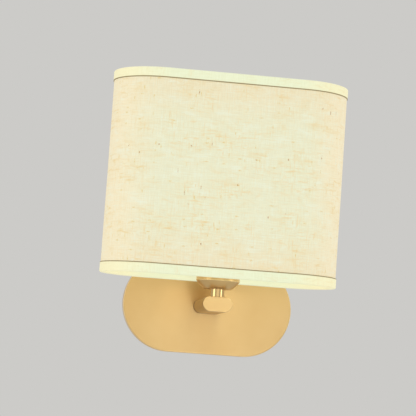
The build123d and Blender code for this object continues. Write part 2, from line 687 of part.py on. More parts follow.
def spider_arm(across, angle):
    """Wire from the fitter ring out to the bottom ring wire; across is the shade's size that way."""
    level = FITTER_Z + FITTER_THICK / 2
    start = FITTER_DIAMETER / 2 + SEAT_GAP
    end = across / 2 - RING_INSET
    foot = SHADE_BOTTOM_Z + ring_wire_height() + RING_WIRE_DIAMETER / 2 + SEAT_GAP
    points = [(start, 0, level), (end, 0, level), (end, 0, foot)]
    return Pos(0, -SHADE_OUT, 0) * Rot(Z=angle) * rod(points, ARM_WIRE_DIAMETER, ARM_WIRE_BEND)


# ---- clamp ring ----
def shade_ring():
    """Ring nut that clamps the fitter ring to the shoulder, with grip notches round its collar."""
    hole = HOLDER_THREAD_DIAMETER / 2 + RUNNING_GAP
    flange = CLAMP_FLANGE_DIAMETER / 2
    collar = CLAMP_COLLAR_DIAMETER / 2
    step = CLAMP_Z + CLAMP_FLANGE_THICK
    top = CLAMP_Z + CLAMP_HEIGHT
    body = turned((hole, CLAMP_Z), (flange, CLAMP_Z), (flange, step), (collar, step), (collar, top), (hole, top))
    grips = Sketch()
    for count in range(CLAMP_GRIPS):
        grips += Rot(Z=360 * count / CLAMP_GRIPS) * Pos(collar, 0) * Circle(CLAMP_GRIP_DIAMETER / 2)
    return body - upright(grips, step, top)


# ---- bulb ----
def bulb_contact():
    """Solder button at the foot of the bulb."""
    radius = BULB_CONTACT_DIAMETER / 2
    high = BULB_Z + BULB_CONTACT_HEIGHT
    return turned((0, BULB_Z), (radius / 2, BULB_Z), (radius, high), (0, high))


def bulb_insulator():
    """Dark glass cone between the contact and the screw cap."""
    low = BULB_Z + BULB_CONTACT_HEIGHT
    inside = BULB_CAP_DIAMETER / 2 - BULB_CAP_WALL - SEAT_GAP
    rise = BULB_CAP_Z + BULB_CONTACT_HEIGHT
    return turned((0, low), (BULB_CONTACT_DIAMETER / 2, low), (inside, BULB_CAP_Z), (inside, rise), (0, rise))


def bulb_cap():
    """Screw cap of the bulb, drawn without its thread."""
    section = Circle(BULB_CAP_DIAMETER / 2) - Circle(BULB_CAP_DIAMETER / 2 - BULB_CAP_WALL)
    return upright(section, BULB_CAP_Z, NECK_Z)


def flare(inset):
    """Solid of the bulb's flared housing, moved in by inset."""
    low = (BULB_NECK_DIAMETER / 2 - inset, NECK_Z)
    high = (GLOBE_FOOT_DIAMETER / 2 - inset, GLOBE_FOOT_Z)
    middle = ((low[0] + high[0]) / 2 - FLARE_DIP, (low[1] + high[1]) / 2 + FLARE_DIP)
    outline = Line((0, NECK_Z), low) + ThreePointArc(low, middle, high)
    outline += Polyline(high, (0, GLOBE_FOOT_Z), (0, NECK_Z))
    return Pos(0, -SHADE_OUT, 0) * revolve(Plane.XZ * make_face(outline), Axis.Z)


def bulb_housing():
    """Plastic housing: a spigot in the cap and a hollow flare up to the globe."""
    outer = BULB_CAP_DIAMETER / 2 - BULB_CAP_WALL - SEAT_GAP
    inner = outer - BULB_WALL
    body = flare(0) - flare(BULB_WALL)
    body += upright(Circle(BULB_NECK_DIAMETER / 2), NECK_Z, NECK_Z + BULB_WALL)
    body += upright(Circle(outer), NECK_Z - BULB_SPIGOT, NECK_Z)
    return body - upright(Circle(inner), NECK_Z - BULB_SPIGOT, NECK_Z + BULB_WALL)


def bulb_globe():
    """Opal globe, open where it meets the housing."""
    ball = Sphere(GLOBE_DIAMETER / 2) - Sphere(GLOBE_DIAMETER / 2 - GLOBE_WALL)
    ball = Pos(0, -SHADE_OUT, GLOBE_Z) * ball
    return ball - upright(Circle(GLOBE_DIAMETER), GLOBE_Z - GLOBE_DIAMETER, GLOBE_FOOT_Z)


def led_board():
    """Metal board that carries the LEDs and closes the housing."""
    slab = upright(Circle(GLOBE_DIAMETER / 2), GLOBE_FOOT_Z - LED_BOARD_THICK, GLOBE_FOOT_Z)
    return slab & flare(BULB_WALL + SEAT_GAP)


def led_chips():
    """Ring of LEDs on the board."""
    chips = []
    for count in range(LED_COUNT):
        square = Rot(Z=360 * count / LED_COUNT) * Pos(LED_CIRCLE / 2, 0) * Rectangle(LED_SIZE, LED_SIZE)
        chips.append(upright(square, GLOBE_FOOT_Z, GLOBE_FOOT_Z + LED_HEIGHT))
    return Compound(children=chips)


def led_driver():
    """Small upright circuit board under the LED board, with its capacitor."""
    high = GLOBE_FOOT_Z - LED_BOARD_THICK
    board = upright(Rectangle(DRIVER_WIDTH, DRIVER_THICK), high - DRIVER_HEIGHT, high)
    can = Cylinder(DRIVER_PART_DIAMETER / 2, DRIVER_PART_LENGTH)
    out = SHADE_OUT + DRIVER_THICK / 2 + DRIVER_PART_DIAMETER / 2 - DRIVER_PART_SINK
    return board + Pos(0, -out, high - DRIVER_PART_LENGTH) * can


def build_nodes():
    """Every piece of the light, under its name."""
    return {
        "wall_bracket": wall_bracket(),
        "bracket_earth_screw": bracket_earth_screw(),
        "wall_plate": wall_plate(),
        "plate_screws": plate_screws(),
        "terminal_block": terminal_block(),
        "terminal_poles": terminal_poles(),
        "terminal_clamp_screws": terminal_clamp_screws(),
        "terminal_fixing_screw": terminal_fixing_screw(),
        "arm_nipple": arm_nipple(),
        "arm_nut": arm_nut(),
        "lock_washer": lock_washer(),
        "earth_tag": earth_tag(),
        "arm_tube": arm_tube(),
        "arm_rear_plug": arm_rear_plug(),
        "arm_front_cap": arm_front_cap(),
        "arm_locating_pins": arm_locating_pins(),
        "post_tube": post_tube(),
        "post_sleeve": post_sleeve(),
        "holder_cup": holder_cup(),
        "cup_nut": cup_nut(),
        "holder_cap": holder_cap(),
        "holder_body": holder_body(),
        "holder_insert": holder_insert(),
        "holder_terminals": holder_terminals(),
        "holder_terminal_screws": holder_terminal_screws(),
        "socket_shell": socket_shell(),
        "centre_contact": centre_contact(),
        "live_wire": mains_wire(-1, 0),
        "neutral_wire": mains_wire(1, POLE_SPACING),
        "earth_wire": earth_wire(),
        "shade_cover": shade_cover(),
        "shade_liner": shade_liner(),
        "top_band": top_band(),
        "bottom_band": bottom_band(),
        "top_ring_wire": ring_wire(SHADE_TOP_Z - ring_wire_height()),
        "bottom_ring_wire": ring_wire(SHADE_BOTTOM_Z + ring_wire_height()),
        "fitter_ring": fitter_ring(),
        "spider_arm_right": spider_arm(SHADE_WIDTH, 0),
        "spider_arm_back": spider_arm(SHADE_DEPTH, 90),
        "spider_arm_left": spider_arm(SHADE_WIDTH, 180),
        "spider_arm_front": spider_arm(SHADE_DEPTH, 270),
        "shade_ring": shade_ring(),
        "bulb_contact": bulb_contact(),
        "bulb_insulator": bulb_insulator(),
        "bulb_cap": bulb_cap(),
        "bulb_housing": bulb_housing(),
        "bulb_globe": bulb_globe(),
        "led_board": led_board(),
        "led_chips": led_chips(),
        "led_driver": led_driver(),
    }


if __name__ == "__main__":
    os.makedirs("parts", exist_ok=True)
    for name, shape in build_nodes().items():
        shape.label = name
        export_step(shape, f"parts/{name}.step")
        print(name, round(shape.volume, 1))
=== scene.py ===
import math

import bpy
import numpy as np
from bpy.props import FloatProperty, FloatVectorProperty, PointerProperty
from mathutils import Matrix, Vector


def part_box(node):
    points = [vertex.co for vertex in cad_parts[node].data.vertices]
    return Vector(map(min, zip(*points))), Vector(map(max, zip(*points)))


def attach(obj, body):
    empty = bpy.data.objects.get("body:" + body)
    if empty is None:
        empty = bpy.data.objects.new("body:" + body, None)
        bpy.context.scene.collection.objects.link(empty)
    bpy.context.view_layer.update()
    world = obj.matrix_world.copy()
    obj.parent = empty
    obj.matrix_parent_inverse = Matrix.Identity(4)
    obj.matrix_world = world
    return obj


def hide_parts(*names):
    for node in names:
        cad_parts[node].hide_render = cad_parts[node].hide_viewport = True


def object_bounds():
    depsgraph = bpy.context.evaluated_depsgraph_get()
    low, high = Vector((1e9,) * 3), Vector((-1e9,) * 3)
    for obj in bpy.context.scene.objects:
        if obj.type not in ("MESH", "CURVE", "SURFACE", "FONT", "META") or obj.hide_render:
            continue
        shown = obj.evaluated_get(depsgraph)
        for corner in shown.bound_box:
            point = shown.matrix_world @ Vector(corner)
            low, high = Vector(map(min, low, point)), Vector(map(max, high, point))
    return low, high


bl_info = {
    "name": "Fabric shade wall light",
    "version": (1, 0, 0),
    "blender": (4, 5, 0),
    "location": "View3D > Sidebar > Wall light",
    "description": "Builds the looks of a wall light with an oval linen shade on a satin brass plate",
    "category": "Object",
}

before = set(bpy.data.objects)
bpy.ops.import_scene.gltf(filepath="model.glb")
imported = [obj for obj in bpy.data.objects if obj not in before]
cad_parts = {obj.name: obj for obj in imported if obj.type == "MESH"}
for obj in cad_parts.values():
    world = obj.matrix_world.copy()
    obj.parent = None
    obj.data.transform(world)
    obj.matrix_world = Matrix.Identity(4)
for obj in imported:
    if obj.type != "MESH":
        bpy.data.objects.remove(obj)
CAD_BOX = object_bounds()
MM = 0.001

# ---- places read from the frame, in metres ----
FOOT_LOW, FOOT_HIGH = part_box("bottom_band")
CROWN_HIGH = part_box("top_band")[1]
COVER_LOW, COVER_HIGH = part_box("shade_cover")
LINER_LOW, LINER_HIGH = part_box("shade_liner")
HOLDER_LOW, HOLDER_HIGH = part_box("holder_body")
CAP_LOW, CAP_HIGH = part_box("bulb_cap")
GLOBE_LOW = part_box("bulb_globe")[0]
CUP_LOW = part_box("holder_cup")[0]
AXIS_Y = (FOOT_LOW.y + FOOT_HIGH.y) / 2
BAND_HEIGHT = FOOT_HIGH.z - FOOT_LOW.z
OVAL_RADIUS = (FOOT_HIGH.y - FOOT_LOW.y) / 2
OVAL_HALF = (FOOT_HIGH.x - FOOT_LOW.x) / 2 - OVAL_RADIUS

# ---- sizes of the shade's layers; a gap is the longest step between a section's points ----
COVER_INSET = COVER_LOW.x - FOOT_LOW.x
COVER_THICK = 0.8 * MM
COVER_ROWS = 90
COVER_INNER_STRIDE = 6
LAP_RAMP = 0.05 * MM
TRIM_RAMP = 1.0 * MM
LINER_INSET = LINER_LOW.x - FOOT_LOW.x
LINER_THICK = 0.4 * MM
LINER_SWAY = 0.06 * MM
LINER_RIPPLE_SHIFT = 30 * MM
BAND_THICK = 0.6 * MM
BAND_TURN_IN = 6.0 * MM
BAND_WRAP = 4.9 * MM
BAND_CORNER = 0.8 * MM
BAND_GAP = 0.7 * MM
BAND_SWELL = 0.05 * MM
BAND_SWAY = 0.35 * MM
BAND_BODY_HEIGHT = CROWN_HIGH.z - FOOT_LOW.z
OVAL_COLUMNS = 420
SHARP_FROM = math.radians(35)

# ---- sizes of the holder's skirt and the bulb's cap ----
# Run in and run out are the plain lengths before and after a screw thread.
SKIRT_RADIUS = 14.0 * MM
SKIRT_SPIGOT = 12.45 * MM
SKIRT_SPIGOT_HEIGHT = 3.0 * MM
SKIRT_SHOULDER = 16.5 * MM
SKIRT_SHOULDER_HEIGHT = 2.5 * MM
SKIRT_BORE = 11.4 * MM
SKIRT_MOUTH = 8.7 * MM
SKIRT_LIP = 3.0 * MM
SKIRT_CORNER = 0.25 * MM
SKIRT_GAP = 0.25 * MM
SKIRT_SLACK = 0.01 * MM
SKIRT_RUN_IN = 1.5 * MM
SKIRT_RUN_OUT = 1.0 * MM
CAP_RADIUS = 6.9 * MM
CAP_WALL = 0.3 * MM
CAP_CORNER = 0.14 * MM
CAP_GAP = 0.22 * MM
CAP_RUN_IN = 0.8 * MM
CAP_RUN_OUT = 7.5 * MM
TURN_COLUMNS = 144
TURN_ANGLE = np.linspace(0, 2 * math.pi, TURN_COLUMNS + 1)

# ---- cloth: thread sizes, and where its painted light fades, from and to, in metres from the middle ----
THREAD_PITCH = 0.45 * MM
BUNDLE_PITCH = 1.1 * MM
THREAD_DRAW = 0.05
PANEL_FADE_UP = (0.045, 0.092)
PANEL_FADE_SIDEWAYS = (0.065, 0.112)
TRIM_FADE_SIDEWAYS = (0.06, 0.115)

# ---- brass: swings of the brushing in a metre, and widths of its painted edge highlights and seam shadows ----
LEVEL_BRUSHING = (60, 60, 2600)
DRAWN_BRUSHING = (2600, 60, 2600)
GRAIN_BLUR = 0.12
WORN_POLISH = 0.08
BARE_METALLIC = 0.95
CAP_EDGE = 0.4 * MM
CUP_EDGE = 0.5 * MM
CUP_TAPER = 6.8 * MM
PLATE_EDGE = 0.5 * MM
PLATE_JOINT = 9 * MM
FRONT_JOINT = 3 * MM

# ---- other finishes ----
FINE_RELIEF = 0.05 * MM
GLOBE_DIM_FOOT = 18 * MM
STRIPE_SWING = 2400.0

# ---- stage: the camera's place and turn are a fit to the photograph, with its focal length in pixels ----
FLOOR_SIZE = 6.0
FLOOR_LINES = 13
AIM_HEIGHT = 0.07
SPILL_SIZE = (1.2 * OVAL_HALF, 1.2 * OVAL_RADIUS)
SPILL_RADIANCE = 1.15
SPILL_COLOUR = (1.0, 0.92, 0.82)
CAMERA_PLACE = Vector((-193.791, -1558.335, -61.952)) * MM
CAMERA_YAW = -0.12092
CAMERA_PITCH = 0.0947
CAMERA_ROLL = 0.07003
CAMERA_FOCAL = 1790.04
PHOTO_WIDTH = 416
SENSOR_WIDTH = 36.0
# Each softbox's name, azimuth, elevation, distance, width and height, and radiance.
SOFTBOXES = (
    ("key_softbox", -58, 8, 2.4, (1.2, 1.9), 1.9),
    ("front_softbox", 4, -8, 2.6, (1.9, 1.8), 0.42),
    ("fill_softbox", 66, 6, 2.4, (0.8, 1.9), 2.1),
    ("low_softbox", 14, -38, 1.5, (0.75, 0.44), 1.3),
    ("strip_softbox", 8, -20, 2.4, (0.13, 0.9), 4.2),
    ("back_softbox", 165, 50, 2.6, (1.6, 1.6), 0.9),
)

# ---- the oval's course: distance round, place on the spine, and facing angle ----
ARC_LENGTH = math.pi * OVAL_RADIUS
OVAL_LENGTH = 4 * OVAL_HALF + 2 * ARC_LENGTH
OVAL_STOPS = np.cumsum([0, OVAL_HALF, ARC_LENGTH, 2 * OVAL_HALF, ARC_LENGTH, OVAL_HALF])
OVAL_SPINE = np.array([0, 1, 1, -1, -1, 0]) * OVAL_HALF
OVAL_ANGLE = np.radians([90, 90, -90, -90, -270, -270])


# ---- colours ----
def linear(red, green, blue):
    """Scene colour of an sRGB colour given as three numbers up to 255."""
    srgb = np.array((red, green, blue)) / 255
    return tuple(np.where(srgb > 0.04045, ((srgb + 0.055) / 1.055) ** 2.4, srgb / 12.92).tolist())


def colour(name, description, red, green, blue):
    """Colour property with an sRGB default."""
    tint = linear(red, green, blue)
    return FloatVectorProperty(
        name=name, description=description, subtype="COLOR", size=3, min=0, max=1, default=tint
    )


def length(name, description, default):
    """Length property, in metres."""
    return FloatProperty(
        name=name, description=description, default=default, unit="LENGTH", subtype="DISTANCE"
    )


def share(name, description, default):
    """Property between nothing and all."""
    return FloatProperty(name=name, description=description, default=default, min=0, max=1, subtype="FACTOR")


class ShadeLooks(bpy.types.PropertyGroup):
    """Linen, trim and lining of the shade."""

    # The three linen colours are painted light: the bulb's glow painted cooler in the middle, warmer next to
    # the trim and brighter and warmer round the two ends.
    linen_centre: colour("Linen, middle", "Lit linen in the middle of the panel", 234, 234, 204)
    linen_ends: colour("Linen, ends", "Lit linen round the shade's two ends", 247, 235, 201)
    linen_rims: colour("Linen, rims", "Lit linen next to the trim", 238, 228, 194)
    slub_colour: colour("Slubs", "Thick raw threads in the linen", 231, 202, 137)
    pale_thread: colour("Pale threads", "Bleached threads in the linen", 235, 242, 224)
    fleck_colour: colour("Flecks", "Bits of husk spun into the linen", 187, 143, 80)
    straw_colour: colour("Straw", "Pale bits of straw spun into the linen", 223, 197, 119)
    # Trim ends and trim fold are painted light, the trim brighter and warmer round the ends and tinted for
    # the bulb's light where it folds inside; the trim edge colour is a painted shadow line.
    trim_colour: colour("Trim", "Folded trim over both edges", 237, 243, 211)
    trim_ends: colour("Trim, ends", "Folded trim round the shade's two ends", 251, 245, 204)
    trim_shadow: colour("Trim edge", "Fine dark line along the trim's edge on the linen", 152, 136, 98)
    trim_fold: colour("Trim fold", "Trim where it folds over the rim and down inside", 237, 242, 206)
    lining_colour: colour("Lining", "Lit inside of the shade", 236, 231, 206)
    trim_line: length("Trim edge width", "Width of the dark line", 0.6 * MM)
    lit: share("Lit", "Strength of the bulb's light that comes through the cloth", 0.61)
    dyed: share("Dyed", "Share of the cloth's colour that answers to the room's light", 0.5)
    ripple: length("Ripple", "How far the stretched linen strays from a true oval", 0.12 * MM)
    seam_lap: length("Seam lap", "Overlap of the linen at the back", 12 * MM)
    seam_rise: length("Seam rise", "Step of the linen's free end over the lap", 0.35 * MM)


class BrassLooks(bpy.types.PropertyGroup):
    """Satin brass of the plate, arm, post and cup."""

    brass_light: colour("Brass, light", "Brighter tint of the lacquered brass", 242, 206, 142)
    brass_dark: colour("Brass, dark", "Deeper tint of the lacquered brass", 236, 197, 132)
    # Each part's shade is a painted shade: its copy of the same brass darkened for how much light falls on
    # it.
    plate_painted_shade: share("Plate shade", "Share of its tint that the pressed plate's brass keeps", 0.84)
    tube_painted_shade: share("Tube shade", "The same for the arm's drawn tube", 0.62)
    cup_painted_shade: share("Cup shade", "The same for the spun cup", 0.8)
    post_painted_shade: share("Post shade", "The same for the turned post", 0.84)
    # The worn edge colour is a painted highlight along edges, and the seam colour a painted shadow where the
    # arm meets the plate and its cap.
    worn_edge_highlight: colour("Worn edge", "Brass where handling has polished its edges", 255, 226, 168)
    seam_shadow: colour("Brass seam", "Brass in closed seams, where the lacquer has darkened", 124, 82, 36)
    metallic: share("Metallic", "How much of the finish is bare reflection and not lacquer haze", 0.8)
    plate_metallic: share("Plate metallic", "The same for the pressed plate", 0.72)
    roughness: share("Roughness", "Blur of the satin finish", 0.36)
    grain: share("Grain", "Depth of the fine brushing", 0.12)


class ThreadSizes(bpy.types.PropertyGroup):
    """Screw threads of the lamp holder and the bulb."""

    skirt_pitch: length("Skirt pitch", "Pitch of the thread on the lamp holder's skirt", 2.0 * MM)
    skirt_depth: length("Skirt depth", "Depth of the skirt's thread", 0.7 * MM)
    cap_pitch: length("Cap pitch", "Pitch of the bulb's rolled thread", 2.82 * MM)
    cap_depth: length("Cap depth", "Depth of the bulb's rolled thread", 0.6 * MM)


class StageLooks(bpy.types.PropertyGroup):
    """Floor, backdrop colour and studio lights."""

    backdrop: colour("Backdrop", "Plain pale background", 204, 203, 200)
    floor_colour: colour("Floor", "Plain pale floor", 214, 212, 208)
    floor_drop: length("Floor drop", "Height of the light above the floor", 1.5)
    sky: share("Even light", "Strength of the even light from all round", 0.6)


# ---- surfaces worked out as whole arrays ----
def face_corners(grid):
    """The four corners of every face of a grid, in order round the face."""
    return np.stack([grid[:-1, :-1], grid[:-1, 1:], grid[1:, 1:], grid[1:, :-1]], axis=2)


def flat_map(across, up):
    """Map of a grid in metres: the first distance along its columns and the second along its rows."""
    return np.stack(np.meshgrid(across, up), axis=-1)


def surface(name, points, uv, material):
    """Closed skin over a grid of points whose rows and columns both run round and meet. The last row
    and the last column repeat the first, so that the map has no jump. The skin is turned so that its
    signed volume, a third of the sum of place times area, comes out positive."""
    rows, columns = points.shape[0] - 1, points.shape[1] - 1
    index = (np.arange(rows + 1)[:, None] % rows) * columns + np.arange(columns + 1)[None, :] % columns
    quads = face_corners(index).reshape(-1, 4)
    maps = face_corners(uv).reshape(-1, 4, 2)
    places = points[:rows, :columns].reshape(-1, 3)
    spots = places[quads] - places.mean(0)
    volume = np.einsum("ij,ij->i", spots[:, 0], np.cross(spots[:, 1], spots[:, 2])).sum()
    volume += np.einsum("ij,ij->i", spots[:, 0], np.cross(spots[:, 2], spots[:, 3])).sum()
    if volume < 0:
        quads, maps = quads[:, ::-1], maps[:, ::-1]
    mesh = bpy.data.meshes.new(name)
    mesh.from_pydata(places.tolist(), [], quads.tolist())
    layer = mesh.uv_layers.new(name="UVMap")
    layer.data.foreach_set("uv", maps.astype(np.float32).ravel())
    mesh.polygons.foreach_set("use_smooth", np.ones(len(mesh.polygons), bool))
    mesh.set_sharp_from_angle(angle=SHARP_FROM)
    mesh.materials.append(material)
    piece = bpy.data.objects.new(name, mesh)
    bpy.context.scene.collection.objects.link(piece)
    return piece


def oval_points(around, inset, height):
    """Points on the shade's oval. The oval is everything one radius away from a level spine, so a point
    is its place on the spine plus the radius, less its inset, along the facing angle."""
    spine = np.interp(around, OVAL_STOPS, OVAL_SPINE)
    angle = np.interp(around, OVAL_STOPS, OVAL_ANGLE)
    reach = OVAL_RADIUS - inset
    parts = (spine + reach * np.cos(angle), AXIS_Y + reach * np.sin(angle), height)
    return np.stack(np.broadcast_arrays(*parts), axis=-1)


def turned_points(angle, radius, height):
    """Points turned about the lamp's upright axis: the radius times cosine and sine of the angle, and
    the height."""
    parts = (radius * np.cos(angle), AXIS_Y + radius * np.sin(angle), height)
    return np.stack(np.broadcast_arrays(*parts), axis=-1)


def along(path):
    """Distance along a path from its start, added up over its steps."""
    return np.concatenate([[0], np.cumsum(np.hypot(*np.diff(path, axis=0).T))])


def ease(value, low, high):
    """Smooth step from 0 at low to 1 at high: three times the square less twice the cube."""
    part = np.clip((value - low) / (high - low), 0, 1)
    return part * part * (3 - 2 * part)


def rounded_path(corners, radius, steps=7):
    """Open path whose inner corners are replaced by quadratic curves between points one radius from the
    corner."""
    corners = np.array(corners, float)
    pieces = [corners[:1]]
    share_along = np.linspace(0, 1, steps)[:, None]
    for before, corner, after in zip(corners[:-2], corners[1:-1], corners[2:]):
        start = corner + (before - corner) * radius / np.linalg.norm(before - corner)
        end = corner + (after - corner) * radius / np.linalg.norm(after - corner)
        left = 1 - share_along
        pieces.append(left**2 * start + 2 * left * share_along * corner + share_along**2 * end)
    return np.concatenate(pieces + [corners[-1:]])


def refined(path, gap):
    """Same path with points no further apart than the gap, evenly spaced between its own points."""
    travel = along(path)
    wanted = np.union1d(travel, np.arange(0, travel[-1], gap))
    return np.stack([np.interp(wanted, travel, path[:, axis]) for axis in (0, 1)], axis=1)


def ribbon_section(path, thick, steps=5):
    """Closed section of a tape along a path: the path moved half the thickness to either side along its
    normal, and joined by a half circle at each end. Also returns the distance along the tape at each
    point."""
    heading = np.gradient(path, axis=0)
    heading /= np.linalg.norm(heading, axis=1)[:, None]
    normal = np.stack([-heading[:, 1], heading[:, 0]], axis=1) * thick / 2
    travel = along(path)
    sweep = np.linspace(0, math.pi, steps + 2)[1:-1, None]
    far = path[-1] + np.cos(sweep) * normal[-1] + np.sin(sweep) * heading[-1] * thick / 2
    near = path[0] - np.cos(sweep) * normal[0] - np.sin(sweep) * heading[0] * thick / 2
    loop = np.concatenate([path + normal, far, (path - normal)[::-1], near, (path + normal)[:1]])
    distance = np.concatenate([travel, np.full(steps, travel[-1]), travel[::-1], np.zeros(steps + 1)])
    return loop, distance


def ripple(around, height):
    """Slow wander of stretched cloth, between about -1 and 1: a sum of sines that each close round the
    oval."""
    turn = around * 2 * math.pi / OVAL_LENGTH
    rise = height * 2 * math.pi / BAND_BODY_HEIGHT
    waves = np.sin(3 * turn + 0.6 * rise + 0.4) + 0.7 * np.sin(7 * turn - 1.3 * rise + 2.1)
    waves += 0.5 * np.sin(13 * turn + 2.2 * rise + 4.0) + 0.35 * np.sin(23 * turn - 3.1 * rise + 1.2)
    return waves / 2.55


def helix(angle, height, low, high, pitch, depth):
    """Cut of a screw thread: a cosine of the height in pitches less the turn, eased in and out at its
    two ends."""
    wave = 0.5 + 0.5 * np.cos(2 * math.pi * (height - low) / pitch - angle)
    return depth * wave * ease(height, low, low + pitch) * (1 - ease(height, high - pitch, high))


# ---- node materials ----
class Nodes:
    """Node tree in the making. An input given as a socket is linked, and anything else is set on the
    socket."""

    def __init__(self, tree):
        self.tree = tree

    def put(self, socket, value):
        """Links or sets one input."""
        if isinstance(value, bpy.types.NodeSocket):
            self.tree.links.new(value, socket)
        elif socket.type == "RGBA" and len(value) == 3:
            socket.default_value = (*value, 1)
        else:
            socket.default_value = value

    def add(self, kind, inputs, **settings):
        """Places a node, its settings first, and returns it."""
        node = self.tree.nodes.new("ShaderNode" + kind)
        for key, value in settings.items():
            setattr(node, key, value)
        for key, value in inputs.items():
            self.put(node.inputs[key], value)
        return node

    def math(self, operation, first, second=0.0, clamp=False):
        """Sum, product or other operation on two values."""
        return self.add("Math", {0: first, 1: second}, operation=operation, use_clamp=clamp).outputs[0]

    def shown(self):
        """One for the rays that show the backdrop: the camera's, glossy ones and those that pass
        through."""
        path = self.add("LightPath", {}).outputs
        seen = self.math("MAXIMUM", path["Is Camera Ray"], path["Is Glossy Ray"])
        return self.math("MAXIMUM", seen, path["Is Transmission Ray"])


class Recipe(Nodes):
    """Material in the making, with its main shader."""

    def __init__(self, name):
        self.material = bpy.data.materials.new(name)
        self.material.use_nodes = True
        super().__init__(self.material.node_tree)
        self.shader = self.tree.nodes["Principled BSDF"]

    def set(self, **values):
        """Inputs of the main shader, with _ for a space."""
        for key, value in values.items():
            self.put(self.shader.inputs[key.replace("_", " ")], value)

    def place(self, scale, source="Object", shift=(0, 0, 0)):
        """Coordinates of the surface, scaled and then shifted."""
        vector = self.add("TexCoord", {}).outputs[source]
        return self.add("Mapping", {"Vector": vector, "Scale": scale, "Location": shift}).outputs[0]

    def axis(self, number, source="Object", shift=(0, 0, 0)):
        """One coordinate of the surface, in metres: 0, 1 or 2."""
        return self.add("SeparateXYZ", {0: self.place((1, 1, 1), source, shift)}).outputs[number]

    def noise(self, scale, source="Object", shift=(0, 0, 0), detail=2.0, roughness=0.5, distortion=0.0):
        """Even noise about one half, with as many swings in a metre along each axis as its scale says."""
        inputs = {"Vector": self.place(scale, source, shift), "Scale": 1.0}
        inputs |= {"Detail": detail, "Roughness": roughness, "Distortion": distortion}
        return self.add("TexNoise", inputs).outputs[0]

    def step(self, value, low, high):
        """Smooth step of a value, 0 at low and 1 at high."""
        inputs = {"Value": value, "From Min": low, "From Max": high}
        return self.add("MapRange", inputs, interpolation_type="SMOOTHSTEP").outputs[0]

    def times(self, first, second):
        """Product of two values."""
        return self.math("MULTIPLY", first, second)

    def mix(self, factor, first, second, blend="MIX"):
        """Mixture of two colours."""
        inputs = {0: factor, 6: first, 7: second}
        return self.add("Mix", inputs, data_type="RGBA", blend_type=blend).outputs[2]

    def dim(self, tint, shade):
        """Tint multiplied by a shade."""
        return self.mix(1.0, tint, shade, "MULTIPLY")

    def lay_over(self, tint, mask, low, high, amount, laid):
        """Tint with a colour laid over it by an amount, as the mask goes from low to high."""
        return self.mix(self.times(self.step(mask, low, high), amount), tint, laid)

    def bump(self, height, strength, distance):
        """Relief on the shader's normal."""
        return self.add("Bump", {"Height": height, "Strength": strength, "Distance": distance}).outputs[0]


def weave(recipe, pitch):
    """Threads of a plain weave: two noises, each drawn out along its own threads. Returns their mean."""
    fine, long = 1 / pitch, THREAD_DRAW / pitch
    weft = recipe.noise((long, fine, 1), "UV", detail=2.5, roughness=0.6)
    warp = recipe.noise((fine, long, 1), "UV", (37, 11, 0), detail=2.5, roughness=0.6)
    return recipe.times(recipe.math("ADD", weft, warp), 0.5)


def shade_gaps(recipe, tint, threads, gap, low=0.35, high=0.65):
    """Tint of a weave, multiplied by the gap's shade between its threads."""
    return recipe.mix(recipe.step(threads, low, high), recipe.dim(tint, gap), tint)


def slubs(recipe, amount):
    """Raw threads of linen: drawn-out wavering noises cut off high, level and upright, gathered in
    loose patches."""
    patch = recipe.step(recipe.noise((34, 40, 1), "UV", (5, 3, 0), roughness=0.6), 0.36, 0.66)
    level = recipe.noise((70, 400, 1), "UV", detail=4, roughness=0.7, distortion=0.7)
    upright = recipe.noise((480, 90, 1), "UV", (9, 2, 0), detail=4, roughness=0.7, distortion=0.7)
    upright = recipe.times(recipe.step(upright, 0.5, 0.79), 0.9)
    both = recipe.math("MAXIMUM", recipe.step(level, 0.49, 0.77), upright)
    return recipe.math("MULTIPLY", recipe.times(both, patch), amount, clamp=True)


def flecks(recipe, across, up, size, kept, shift):
    """Sparse bits in the cloth: short ragged spots round the points of a cell pattern. A cell's own
    value says whether it has a spot, which is rare where kept is near one, and how strong it is."""
    wobble = recipe.noise((1300, 900, 1), "UV")
    inputs = {"Vector": recipe.place((across, up, 1), "UV", shift), "Scale": 1.0}
    cells = recipe.add("TexVoronoi", inputs, voronoi_dimensions="2D").outputs
    reach = recipe.times(recipe.math("SUBTRACT", wobble, 0.25), size)
    dot = recipe.math("SUBTRACT", 1.0, recipe.math("DIVIDE", cells["Distance"], reach), clamp=True)
    chosen = recipe.add("SeparateColor", {0: cells["Color"]}).outputs[0]
    return recipe.times(recipe.step(dot, 0.0, 0.6), recipe.step(chosen, kept, 1.0))


def lit_cloth(recipe, tint, looks, boost=1.0):
    """Sets a cloth's colour: one share as dye under the room's light and one as the bulb's light coming
    through."""
    dyed = recipe.dim(tint, (looks.dyed,) * 3)
    recipe.set(Base_Color=dyed, Emission_Color=tint, Emission_Strength=looks.lit * boost, Roughness=0.85)
    recipe.set(Specular_IOR_Level=0.2, Sheen_Weight=0.08, Sheen_Roughness=0.5)


